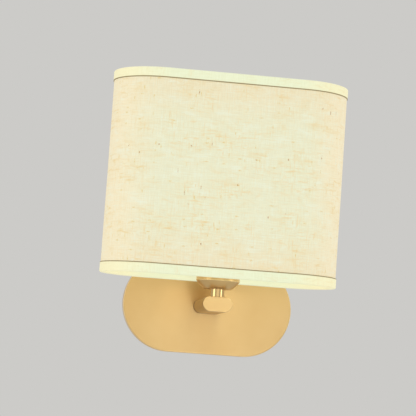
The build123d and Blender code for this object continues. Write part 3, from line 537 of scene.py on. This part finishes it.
def linen_material(looks):
    """Slubby linen. Painted light: the bulb's glow through it is painted cooler in the middle of the panel,
    warmer towards its edges and brighter round its ends.
    """
    recipe = Recipe("Slub linen")
    middle = (FOOT_LOW.z + CROWN_HIGH.z) / 2
    cloud = recipe.times(recipe.noise((14, 14, 1), "UV", detail=3), 0.02)
    sideways = recipe.math("ADD", recipe.math("ABSOLUTE", recipe.axis(0)), cloud)
    upwards = recipe.math("ADD", recipe.math("ABSOLUTE", recipe.axis(2, shift=(0, 0, -middle))), cloud)
    # Painted light: the colour goes warmer towards the rims and brighter and warmer towards the ends.
    tint = recipe.mix(recipe.step(upwards, *PANEL_FADE_UP), looks.linen_centre, looks.linen_rims)
    tint = recipe.mix(recipe.step(sideways, *PANEL_FADE_SIDEWAYS), tint, looks.linen_ends)
    threads = weave(recipe, THREAD_PITCH)
    tint = shade_gaps(recipe, tint, threads, (0.93, 0.92, 0.90))
    bundles = weave(recipe, BUNDLE_PITCH)
    strokes = recipe.noise((60, 150, 1), "UV", (4, 4, 0), detail=4, roughness=0.6, distortion=0.6)
    for mask, low, high, amount, laid in (
        (bundles, 0.5, 0.64, 0.12, looks.slub_colour),
        (bundles, 0.48, 0.36, 0.4, looks.pale_thread),
        (strokes, 0.52, 0.72, 0.36, looks.pale_thread),
        (strokes, 0.46, 0.28, 0.22, looks.slub_colour),
    ):
        tint = recipe.lay_over(tint, mask, low, high, amount, laid)
    slub = slubs(recipe, 1.0)
    tint = recipe.mix(slub, tint, looks.slub_colour)
    level = flecks(recipe, 70, 190, 0.5, 0.74, (0, 0, 0))
    upright = flecks(recipe, 230, 60, 0.5, 0.8, (3, 8, 0))
    straw = recipe.times(recipe.math("MAXIMUM", level, upright), 0.7)
    tint = recipe.mix(straw, tint, looks.straw_colour)
    short = flecks(recipe, 74, 46, 0.2, 0.9, (2, 5, 0))
    long = flecks(recipe, 150, 30, 0.26, 0.93, (6, 1, 0))
    husk = recipe.times(recipe.math("MAXIMUM", short, long), 0.9)
    tint = recipe.mix(husk, tint, looks.fleck_colour)
    lit_cloth(recipe, tint, looks)
    relief = recipe.math("ADD", threads, recipe.times(slub, 0.5))
    recipe.set(Normal=recipe.bump(relief, 0.35, 0.25 * MM))
    return recipe.material


def trim_material(looks):
    """Trim of the same cloth, with a fine painted shadow line along the edge that lies on the linen, and
    painted light: brighter and warmer round the shade's two ends.
    """
    recipe = Recipe("Folded trim")
    threads = weave(recipe, THREAD_PITCH)
    cloud = recipe.times(recipe.noise((30, 90, 1), "UV", detail=3), 0.03)
    sideways = recipe.math("ADD", recipe.math("ABSOLUTE", recipe.axis(0)), cloud)
    # Painted light: brighter, warmer trim round the two ends.
    ends = recipe.step(sideways, *TRIM_FADE_SIDEWAYS)
    tint = recipe.mix(ends, looks.trim_colour, looks.trim_ends)
    tint = shade_gaps(recipe, tint, threads, (0.94, 0.93, 0.88))
    tint = recipe.mix(slubs(recipe, 0.55), tint, looks.slub_colour)
    across = recipe.axis(1, "UV")
    # Painted light: the fold tint over the rim and inside the shade, brighter round the ends.
    fold = recipe.mix(ends, looks.trim_fold, looks.trim_ends)
    tint = recipe.lay_over(tint, across, BAND_HEIGHT - 1.2 * MM, BAND_HEIGHT + 0.2 * MM, 0.75, fold)
    # Painted shadow line along the edge that lies on the linen.
    line = recipe.math("SUBTRACT", 1.0, recipe.step(across, looks.trim_line * 0.6, looks.trim_line * 1.2))
    tint = recipe.mix(line, tint, looks.trim_shadow)
    lit_cloth(recipe, tint, looks)
    recipe.set(Normal=recipe.bump(threads, 0.3, 0.2 * MM))
    return recipe.material


def lining_material(looks):
    """Stiff film that the linen is stuck to: the weave shows through it faintly."""
    recipe = Recipe("Shade lining")
    threads = weave(recipe, THREAD_PITCH)
    streaks = recipe.noise((40, 500, 1), "UV", detail=3)
    tint = recipe.lay_over(looks.lining_colour, streaks, 0.52, 0.8, 0.35, looks.slub_colour)
    tint = shade_gaps(recipe, tint, threads, (0.97, 0.97, 0.95), 0.3, 0.7)
    lit_cloth(recipe, tint, looks, 1.1)
    recipe.set(Roughness=0.5, Normal=recipe.bump(threads, 0.15, 0.1 * MM))
    return recipe.material


def edge_line(recipe, axis, place, width):
    """Mask of one at a place on an axis, 0 for the first, that falls to zero over the width to either
    side."""
    gap = recipe.math("ABSOLUTE", recipe.math("SUBTRACT", recipe.axis(axis), place))
    return recipe.math("SUBTRACT", 1.0, recipe.step(gap, width * 0.3, width))


def brass_material(
    looks, name, brushing=LEVEL_BRUSHING, polish=1.0, shade=1.0, edges=(), seams=(),
    drawn_out=0.0, metallic=None
):
    """Satin lacquered brass with fine brushing along the low axis of its scale and a slow change of
    tint. The shade darkens the whole tint: a painted shade for how much light falls on the part. Each of
    the edges, an axis, a place on it and a width, gets a painted highlight and is worn smoother, and each
    seam gets a painted shadow. Level brushing draws reflections out upright, by the share drawn_out."""
    recipe = Recipe(name)
    cloud = recipe.noise((22, 22, 22), detail=3)
    grain = recipe.noise(brushing, detail=3, roughness=0.6)
    tint = recipe.mix(recipe.step(cloud, 0.3, 0.7), looks.brass_dark, looks.brass_light)
    tint = recipe.lay_over(tint, grain, 0.35, 0.7, 0.18, looks.brass_light)
    # Painted shade: the part's copy of the brass darkened as a whole.
    tint = recipe.dim(tint, (shade,) * 3)
    blur = recipe.math("ADD", looks.roughness - GRAIN_BLUR / 2, recipe.times(grain, GRAIN_BLUR))
    blur = recipe.times(blur, polish)
    # Painted highlight along each edge, which is also made a little smoother.
    for edge in edges:
        wear_and_highlight = recipe.times(edge_line(recipe, *edge), recipe.math("ADD", cloud, 0.3))
        tint = recipe.mix(wear_and_highlight, tint, looks.worn_edge_highlight)
        blur = recipe.math("SUBTRACT", blur, recipe.times(wear_and_highlight, WORN_POLISH))
    # Painted shadow along each seam.
    for seam in seams:
        tint = recipe.mix(edge_line(recipe, *seam), tint, looks.seam_shadow)
    recipe.set(Base_Color=tint, Roughness=blur, Metallic=looks.metallic if metallic is None else metallic)
    recipe.set(Normal=recipe.bump(grain, looks.grain, FINE_RELIEF))
    if drawn_out:
        recipe.set(Anisotropic=drawn_out, Tangent=recipe.add("CombineXYZ", {2: 1.0}).outputs[0])
    return recipe.material


def metal_material(name, light, dark, roughness, brushing=(400, 400, 400), grain=0.15):
    """Plain metal whose tint and blur change with a fine grain and a slow cloud. Its colours are sRGB."""
    recipe = Recipe(name)
    cloud = recipe.noise((90, 90, 90), detail=4)
    fine = recipe.noise(brushing, detail=3, roughness=0.6)
    mottle = recipe.math("ADD", cloud, recipe.times(fine, 0.3))
    tint = recipe.mix(recipe.step(mottle, 0.4, 0.9), linear(*dark), linear(*light))
    blur = recipe.math("ADD", roughness, recipe.times(cloud, 0.12))
    recipe.set(Base_Color=tint, Roughness=blur, Metallic=1.0, Normal=recipe.bump(fine, grain, FINE_RELIEF))
    return recipe.material


def moulded_material(name, light, dark, roughness, pebble=1400, relief=0.12):
    """Moulded or coated surface: a slow cloud in its tint, and a fine pebble in its relief and gloss.
    Its colours are sRGB."""
    recipe = Recipe(name)
    cloud = recipe.noise((60, 60, 60), detail=4)
    fine = recipe.noise((pebble, pebble, pebble))
    tint = recipe.mix(recipe.step(cloud, 0.3, 0.75), linear(*light), linear(*dark))
    blur = recipe.math("ADD", roughness - 0.05, recipe.times(fine, 0.1))
    recipe.set(Base_Color=tint, Roughness=blur, Normal=recipe.bump(fine, relief, FINE_RELIEF))
    return recipe.material


def globe_material(lit):
    """Opal globe lit from inside, a little dimmer towards its foot."""
    recipe = Recipe("Opal globe")
    cloud = recipe.times(recipe.noise((60, 60, 60), detail=3), 3 * MM)
    height = recipe.math("ADD", recipe.axis(2), cloud)
    glow = recipe.step(height, GLOBE_LOW.z, GLOBE_LOW.z + GLOBE_DIM_FOOT)
    tint = recipe.mix(glow, linear(226, 212, 178), linear(255, 248, 226))
    recipe.set(Base_Color=recipe.dim(tint, (0.4, 0.4, 0.4)), Emission_Color=tint)
    recipe.set(Emission_Strength=lit + 0.05, Roughness=0.35)
    return recipe.material


def earth_material():
    """Green insulation with a yellow stripe along one side."""
    recipe = Recipe("Earth insulation")
    wobble = recipe.times(recipe.noise((200, 200, 200)), 0.8 * MM)
    across = recipe.times(recipe.math("ADD", recipe.axis(1), wobble), STRIPE_SWING)
    stripe = recipe.math("GREATER_THAN", recipe.math("SINE", across), 0.1)
    recipe.set(Base_Color=recipe.mix(stripe, linear(60, 132, 52), linear(222, 196, 52)), Roughness=0.35)
    return recipe.material


def finish_nodes(material, *names):
    """Gives CAD nodes a material."""
    for name in names:
        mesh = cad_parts[name].data
        mesh.materials.clear()
        mesh.materials.append(material)


def looks_of(context, group):
    """One group of the scene's settings."""
    return getattr(context.scene, group)


# ---- operators ----
class WALLLIGHT_OT_linen_drum(bpy.types.Operator):
    """Builds the stretched linen drum with its lapped seam at the back"""

    bl_idname = "walllight.linen_drum"
    bl_label = "Linen drum"

    def execute(self, context):
        looks = looks_of(context, "wall_light_shade")
        low, high = COVER_LOW.z, COVER_HIGH.z
        edge = looks.seam_lap / 2
        steps = np.array([edge * 0.2, edge, edge + LAP_RAMP])
        even = np.linspace(0, OVAL_LENGTH, OVAL_COLUMNS)
        around = np.union1d(even, np.concatenate([steps, OVAL_LENGTH - steps]))
        rise = np.linspace(low, high, COVER_ROWS)
        fall = rise[::-COVER_INNER_STRIDE]
        height = np.concatenate([rise, fall, rise[:1]])
        inside = np.concatenate([np.zeros(len(rise)), np.ones(len(fall)), [0]])
        free_end = 1 - ease(OVAL_LENGTH - around, edge, edge + LAP_RAMP)
        lap = np.where(around > OVAL_LENGTH / 2, free_end, 1 - ease(around, 0, edge))
        over_foot = ease(height, low + BAND_HEIGHT, low + BAND_HEIGHT + TRIM_RAMP)
        under_crown = 1 - ease(height, high - BAND_HEIGHT - TRIM_RAMP, high - BAND_HEIGHT)
        between = (over_foot * under_crown)[:, None]
        wander = looks.ripple * ripple(around[None, :], height[:, None]) * between
        stand = lap[None, :] * between * looks.seam_rise + wander
        inset = COVER_INSET + inside[:, None] * COVER_THICK - (1 - inside[:, None]) * stand
        points = oval_points(around[None, :], inset, height[:, None])
        drum = surface("linen_drum", points, flat_map(around, height - low), linen_material(looks))
        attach(drum, "shade")
        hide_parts("shade_cover")
        return {"FINISHED"}


class WALLLIGHT_OT_shade_lining(bpy.types.Operator):
    """Builds the stiff lining inside the linen"""

    bl_idname = "walllight.shade_lining"
    bl_label = "Shade lining"

    def execute(self, context):
        looks = looks_of(context, "wall_light_shade")
        low, high = LINER_LOW.z, LINER_HIGH.z
        around = np.linspace(0, OVAL_LENGTH, OVAL_COLUMNS)
        rise = np.linspace(low, high, COVER_ROWS // 3)
        height = np.concatenate([rise, rise[::-1], rise[:1]])
        inside = np.concatenate([np.zeros(len(rise)), np.ones(len(rise)), [0]])[:, None]
        sway = LINER_SWAY * ripple(around[None, :], height[:, None] + LINER_RIPPLE_SHIFT)
        inset = LINER_INSET + inside * LINER_THICK + sway * inside
        points = oval_points(around[None, :], inset, height[:, None])
        lining = surface("shade_lining", points, flat_map(around, height - low), lining_material(looks))
        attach(lining, "shade")
        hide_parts("shade_liner")
        return {"FINISHED"}


def trim_piece(name, node, rim, inward, material):
    """Trim tape carried round the oval: from its edge on the linen over the rim and up inside the
    shade. rim is the height of the shade's edge, and inward is 1 where the shade lies above it and -1
    where it lies below."""
    half = BAND_THICK / 2
    back = BAND_WRAP - half
    corners = [(half, BAND_HEIGHT - half), (half, half), (back, half), (back, BAND_TURN_IN)]
    section, travel = ribbon_section(refined(rounded_path(corners, BAND_CORNER), BAND_GAP), BAND_THICK)
    around = np.linspace(0, OVAL_LENGTH, OVAL_COLUMNS)
    inner = ease(travel, travel.max() - BAND_TURN_IN, travel.max())[:, None]
    swell = BAND_SWELL * np.abs(ripple(around[None, :] + rim, travel[:, None]) * (1 - inner))
    sway = BAND_SWAY * inner * ripple(around[None, :], rim)
    points = oval_points(around[None, :], section[:, :1] - swell, rim + inward * (section[:, 1:] + sway))
    trim = surface(name, points, flat_map(around, travel), material)
    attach(trim, "shade")
    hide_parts(node)


class WALLLIGHT_OT_trim(bpy.types.Operator):
    """Builds the folded trim over the shade's upper and lower edge"""

    bl_idname = "walllight.trim"
    bl_label = "Trim bands"

    def execute(self, context):
        material = trim_material(looks_of(context, "wall_light_shade"))
        trim_piece("top_trim", "top_band", CROWN_HIGH.z, -1, material)
        trim_piece("bottom_trim", "bottom_band", FOOT_LOW.z, 1, material)
        return {"FINISHED"}


class WALLLIGHT_OT_brass(bpy.types.Operator):
    """Finishes the plate, arm, post and cup in satin brass"""

    bl_idname = "walllight.brass"
    bl_label = "Satin brass"

    def execute(self, context):
        looks = looks_of(context, "wall_light_brass")
        cap_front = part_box("arm_front_cap")[0].y
        arm_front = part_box("arm_tube")[0].y
        plate_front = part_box("wall_plate")[0].y
        # The cap keeps the brass's full tint; the other parts take a darker copy as painted shade.
        flat = brass_material(
            looks, "Satin brass, cap", drawn_out=0.6, edges=[(1, cap_front + CAP_EDGE, CAP_EDGE)]
        )
        drawn = brass_material(
            looks, "Satin brass, drawn", DRAWN_BRUSHING, shade=looks.tube_painted_shade, metallic=BARE_METALLIC,
            seams=[(1, plate_front, PLATE_JOINT), (1, arm_front, FRONT_JOINT)],
        )
        turned = brass_material(
            looks, "Satin brass, turned", polish=0.85, shade=looks.cup_painted_shade, drawn_out=0.6,
            edges=[(2, CUP_LOW.z + CUP_TAPER, CUP_EDGE)],
        )
        bright = brass_material(
            looks, "Polished brass, turned", polish=0.35, shade=looks.post_painted_shade, metallic=BARE_METALLIC
        )
        plate = brass_material(
            looks, "Satin brass, plate", shade=looks.plate_painted_shade, drawn_out=0.85,
            edges=[(1, plate_front + PLATE_EDGE, PLATE_EDGE)], metallic=looks.plate_metallic,
        )
        finish_nodes(flat, "arm_front_cap")
        finish_nodes(plate, "wall_plate", "plate_screws")
        finish_nodes(turned, "holder_cup")
        finish_nodes(bright, "post_sleeve")
        finish_nodes(drawn, "arm_tube", "arm_rear_plug")
        return {"FINISHED"}


class WALLLIGHT_OT_holder(bpy.types.Operator):
    """Builds the lamp holder's threaded skirt and finishes the rest of the holder"""

    bl_idname = "walllight.holder"
    bl_label = "Lamp holder"

    def execute(self, context):
        sizes = looks_of(context, "wall_light_threads")
        plastic = moulded_material("Holder plastic", (243, 242, 236), (234, 231, 221), 0.42)
        low, high = HOLDER_LOW.z, HOLDER_HIGH.z
        shoulder = low + SKIRT_SPIGOT_HEIGHT
        seat = shoulder + SKIRT_SHOULDER_HEIGHT
        lip = high - SKIRT_LIP
        corners = [(SKIRT_BORE, low), (SKIRT_SPIGOT, low), (SKIRT_SPIGOT, shoulder)]
        corners += [(SKIRT_SHOULDER, shoulder), (SKIRT_SHOULDER, seat), (SKIRT_RADIUS, seat)]
        corners += [(SKIRT_RADIUS, high), (SKIRT_MOUTH, high), (SKIRT_MOUTH, lip)]
        corners += [(SKIRT_BORE, lip), (SKIRT_BORE, low)]
        path = refined(rounded_path(corners, SKIRT_CORNER, 4), SKIRT_GAP)
        radius, height = path[:, :1], path[:, 1:]
        thread = (seat + SKIRT_RUN_IN, high - SKIRT_RUN_OUT, sizes.skirt_pitch, sizes.skirt_depth)
        outside = (radius > SKIRT_RADIUS - SKIRT_SLACK) & (height > seat)
        cut = np.where(outside, helix(TURN_ANGLE[None, :], height, *thread), 0)
        points = turned_points(TURN_ANGLE[None, :], radius - cut, height)
        skirt = surface("holder_skirt", points, flat_map(TURN_ANGLE * SKIRT_RADIUS, along(path)), plastic)
        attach(skirt, "root")
        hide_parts("holder_body")
        finish_nodes(plastic, "holder_cap", "shade_ring")
        finish_nodes(moulded_material("Holder core", (232, 227, 212), (220, 213, 194), 0.5), "holder_insert")
        return {"FINISHED"}


class WALLLIGHT_OT_bulb(bpy.types.Operator):
    """Builds the bulb's threaded cap and finishes the rest of the bulb"""

    bl_idname = "walllight.bulb"
    bl_label = "Bulb"

    def execute(self, context):
        sizes = looks_of(context, "wall_light_threads")
        nickel = metal_material("Bulb nickel", (226, 224, 216), (196, 192, 180), 0.22)
        low, high = CAP_LOW.z, CAP_HIGH.z
        inside = CAP_RADIUS - CAP_WALL
        corners = [(inside, low), (CAP_RADIUS, low), (CAP_RADIUS, high), (inside, high), (inside, low)]
        path = refined(rounded_path(corners, CAP_CORNER, 3), CAP_GAP)
        radius, height = path[:, :1], path[:, 1:]
        thread = (low + CAP_RUN_IN, high - CAP_RUN_OUT, sizes.cap_pitch, sizes.cap_depth)
        cut = helix(TURN_ANGLE[None, :], height, *thread)
        points = turned_points(TURN_ANGLE[None, :], radius - cut, height)
        cap = surface("threaded_cap", points, flat_map(TURN_ANGLE * CAP_RADIUS, along(path)), nickel)
        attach(cap, "bulb")
        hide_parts("bulb_cap")
        finishes = {
            "bulb_globe": globe_material(looks_of(context, "wall_light_shade").lit),
            "bulb_housing": moulded_material("Bulb housing", (244, 243, 238), (236, 233, 225), 0.35),
            "bulb_insulator": moulded_material("Dark glass", (40, 38, 38), (26, 25, 26), 0.15, 500, 0.05),
            "bulb_contact": metal_material("Solder", (204, 203, 198), (168, 166, 160), 0.35, grain=0.4),
            "led_board": metal_material("Board aluminium", (222, 223, 222), (196, 197, 197), 0.45),
            "led_chips": moulded_material("LED phosphor", (243, 205, 92), (232, 186, 66), 0.4),
            "led_driver": moulded_material("Driver board", (52, 110, 66), (38, 88, 52), 0.4, 700, 0.3),
        }
        for node, material in finishes.items():
            finish_nodes(material, node)
        return {"FINISHED"}


class WALLLIGHT_OT_inner_parts(bpy.types.Operator):
    """Finishes the bracket, terminals, wires and the shade's wire frame"""

    bl_idname = "walllight.inner_parts"
    bl_label = "Inner parts"

    def execute(self, context):
        zinc = metal_material("Zinc plate", (212, 214, 216), (176, 178, 176), 0.32, (300, 300, 300), 0.2)
        turned = metal_material("Bare brass", (232, 200, 134), (206, 166, 96), 0.26, (50, 50, 2200))
        white = moulded_material("White powder coat", (243, 242, 236), (235, 233, 225), 0.45, 1800, 0.25)
        block = moulded_material("Terminal plastic", (236, 235, 226), (226, 223, 210), 0.5)
        brown = moulded_material("Brown insulation", (112, 68, 42), (92, 54, 34), 0.35, 600, 0.08)
        blue = moulded_material("Blue insulation", (58, 112, 186), (42, 92, 160), 0.35, 600, 0.08)
        finish_nodes(zinc, "wall_bracket", "bracket_earth_screw", "terminal_clamp_screws")
        finish_nodes(zinc, "terminal_fixing_screw", "holder_terminal_screws", "arm_locating_pins")
        finish_nodes(zinc, "arm_nut", "lock_washer", "cup_nut")
        finish_nodes(turned, "terminal_poles", "earth_tag", "arm_nipple", "post_tube", "holder_terminals")
        finish_nodes(turned, "socket_shell", "centre_contact")
        finish_nodes(white, "top_ring_wire", "bottom_ring_wire", "fitter_ring")
        finish_nodes(white, "spider_arm_left", "spider_arm_right", "spider_arm_front", "spider_arm_back")
        finish_nodes(block, "terminal_block")
        finish_nodes(brown, "live_wire")
        finish_nodes(blue, "neutral_wire")
        finish_nodes(earth_material(), "earth_wire")
        return {"FINISHED"}


class WALLLIGHT_OT_stage(bpy.types.Operator):
    """Sets the floor, the pale backdrop, the soft studio lights and the camera"""

    bl_idname = "walllight.stage"
    bl_label = "Stage"

    def execute(self, context):
        looks = looks_of(context, "wall_light_stage")
        self.floor(looks)
        self.world(context, looks)
        for softbox in SOFTBOXES:
            self.softbox(*softbox)
        self.lamp("spill", SPILL_SIZE, SPILL_RADIANCE, (0, AXIS_Y, FOOT_HIGH.z), SPILL_COLOUR)
        self.camera(context)
        context.scene.view_settings.view_transform = "Standard"
        return {"FINISHED"}

    def floor(self, looks):
        """Level square of plain board, well below the light as a room's floor is."""
        line = np.linspace(-FLOOR_SIZE / 2, FLOOR_SIZE / 2, FLOOR_LINES)
        x, y = np.meshgrid(line, line)
        height = np.full_like(x, CAD_BOX[0].z - looks.floor_drop)
        places = np.stack([x, y, height], axis=-1).reshape(-1, 3)
        index = np.arange(len(places)).reshape(FLOOR_LINES, FLOOR_LINES)
        mesh = bpy.data.meshes.new("floor")
        mesh.from_pydata(places.tolist(), [], face_corners(index).reshape(-1, 4).tolist())
        recipe = Recipe("Pale floor")
        cloud = recipe.times(recipe.noise((6, 6, 6), detail=3), 0.06)
        recipe.set(Base_Color=recipe.mix(cloud, looks.floor_colour, (0.5, 0.5, 0.5)), Roughness=0.9)
        self.lift(recipe, looks)
        mesh.materials.append(recipe.material)
        board = bpy.data.objects.new("floor", mesh)
        bpy.context.scene.collection.objects.link(board)

    def lift(self, recipe, looks):
        """Mixes some of the backdrop's colour into the floor for the rays that show it, so the two read
        as one."""
        pale = recipe.add("Emission", {"Color": looks.backdrop, "Strength": 1.2}).outputs[0]
        amount = recipe.times(recipe.shown(), 0.6)
        both = recipe.add("MixShader", {0: amount, 1: recipe.shader.outputs[0], 2: pale}).outputs[0]
        recipe.put(recipe.tree.nodes["Material Output"].inputs[0], both)

    def world(self, context, looks):
        """Even light from all round; the camera and glossy or clear surfaces see the plain backdrop
        instead."""
        world = bpy.data.worlds.new("Studio")
        world.use_nodes = True
        world.node_tree.nodes.clear()
        nodes = Nodes(world.node_tree)
        light = nodes.add("Background", {"Color": (1.0, 0.99, 0.97), "Strength": looks.sky}).outputs[0]
        backdrop = nodes.add("Background", {"Color": looks.backdrop}).outputs[0]
        both = nodes.add("MixShader", {0: nodes.shown(), 1: light, 2: backdrop}).outputs[0]
        nodes.add("OutputWorld", {0: both})
        context.scene.world = world

    def lamp(self, name, size, radiance, place, tint=(1, 1, 1)):
        """Level area light that the camera doesn't see. Its power is its radiance times pi times its
        area."""
        light = bpy.data.lights.new(name, "AREA")
        light.shape = "RECTANGLE"
        light.size, light.size_y = size
        light.energy = radiance * math.pi * size[0] * size[1]
        light.color = tint
        box = bpy.data.objects.new(name, light)
        box.location = place
        box.visible_camera = False
        bpy.context.scene.collection.objects.link(box)
        return box

    def softbox(self, name, azimuth, elevation, distance, size, radiance):
        """Lamp turned to the light's middle. Azimuth 0 is in front of the wall and grows to the right."""
        side, rise = math.radians(azimuth), math.radians(elevation)
        towards = Vector((math.sin(side) * math.cos(rise), -math.cos(side) * math.cos(rise), math.sin(rise)))
        box = self.lamp(name, size, radiance, Vector((0, AXIS_Y, AIM_HEIGHT)) + towards * distance)
        box.rotation_mode = "QUATERNION"
        box.rotation_quaternion = towards.to_track_quat("Z", "Y")

    def camera(self, context):
        """Camera at the photograph's place: looking up a little from the left, and rolled a little."""
        turn = Matrix.Rotation(CAMERA_YAW, 3, "Z") @ Matrix.Rotation(CAMERA_PITCH, 3, "X")
        right, ahead, up = turn.col[0], turn.col[1], turn.col[2]
        across = math.cos(CAMERA_ROLL) * right + math.sin(CAMERA_ROLL) * up
        upward = math.cos(CAMERA_ROLL) * up - math.sin(CAMERA_ROLL) * right
        axes = Matrix((across, upward, -ahead)).transposed()
        data = bpy.data.cameras.new("camera")
        data.sensor_width = SENSOR_WIDTH
        data.lens = CAMERA_FOCAL * SENSOR_WIDTH / PHOTO_WIDTH
        data.clip_start, data.clip_end = 0.05, 50
        camera = bpy.data.objects.new("camera", data)
        camera.matrix_world = Matrix.Translation(CAMERA_PLACE) @ axes.to_4x4()
        context.scene.collection.objects.link(camera)
        context.scene.camera = camera


class WALLLIGHT_PT_panel(bpy.types.Panel):
    """Steps that build the light's looks"""

    bl_idname = "WALLLIGHT_PT_panel"
    bl_label = "Wall light"
    bl_space_type = "VIEW_3D"
    bl_region_type = "UI"
    bl_category = "Wall light"

    def draw(self, context):
        for step in STEPS:
            self.layout.operator(step.bl_idname)
        for group in GROUPS:
            settings = looks_of(context, group)
            for key in settings.__annotations__:
                self.layout.prop(settings, key)


STEPS = (
    WALLLIGHT_OT_linen_drum,
    WALLLIGHT_OT_shade_lining,
    WALLLIGHT_OT_trim,
    WALLLIGHT_OT_brass,
    WALLLIGHT_OT_holder,
    WALLLIGHT_OT_bulb,
    WALLLIGHT_OT_inner_parts,
    WALLLIGHT_OT_stage,
)
GROUPS = {
    "wall_light_shade": ShadeLooks,
    "wall_light_brass": BrassLooks,
    "wall_light_threads": ThreadSizes,
    "wall_light_stage": StageLooks,
}


def register():
    """Adds the settings, steps and panel."""
    for group, kind in GROUPS.items():
        bpy.utils.register_class(kind)
        setattr(bpy.types.Scene, group, PointerProperty(type=kind))
    for kind in STEPS + (WALLLIGHT_PT_panel,):
        bpy.utils.register_class(kind)


def unregister():
    """Removes the panel, steps and settings."""
    for kind in reversed(STEPS + (WALLLIGHT_PT_panel,)):
        bpy.utils.unregister_class(kind)
    for group, kind in GROUPS.items():
        delattr(bpy.types.Scene, group)
        bpy.utils.unregister_class(kind)


def main():
    """Runs every step."""
    register()
    for step in STEPS:
        family, name = step.bl_idname.split(".")
        getattr(getattr(bpy.ops, family), name)()
    bpy.context.view_layer.update()


if __name__ == "__main__":
    main()
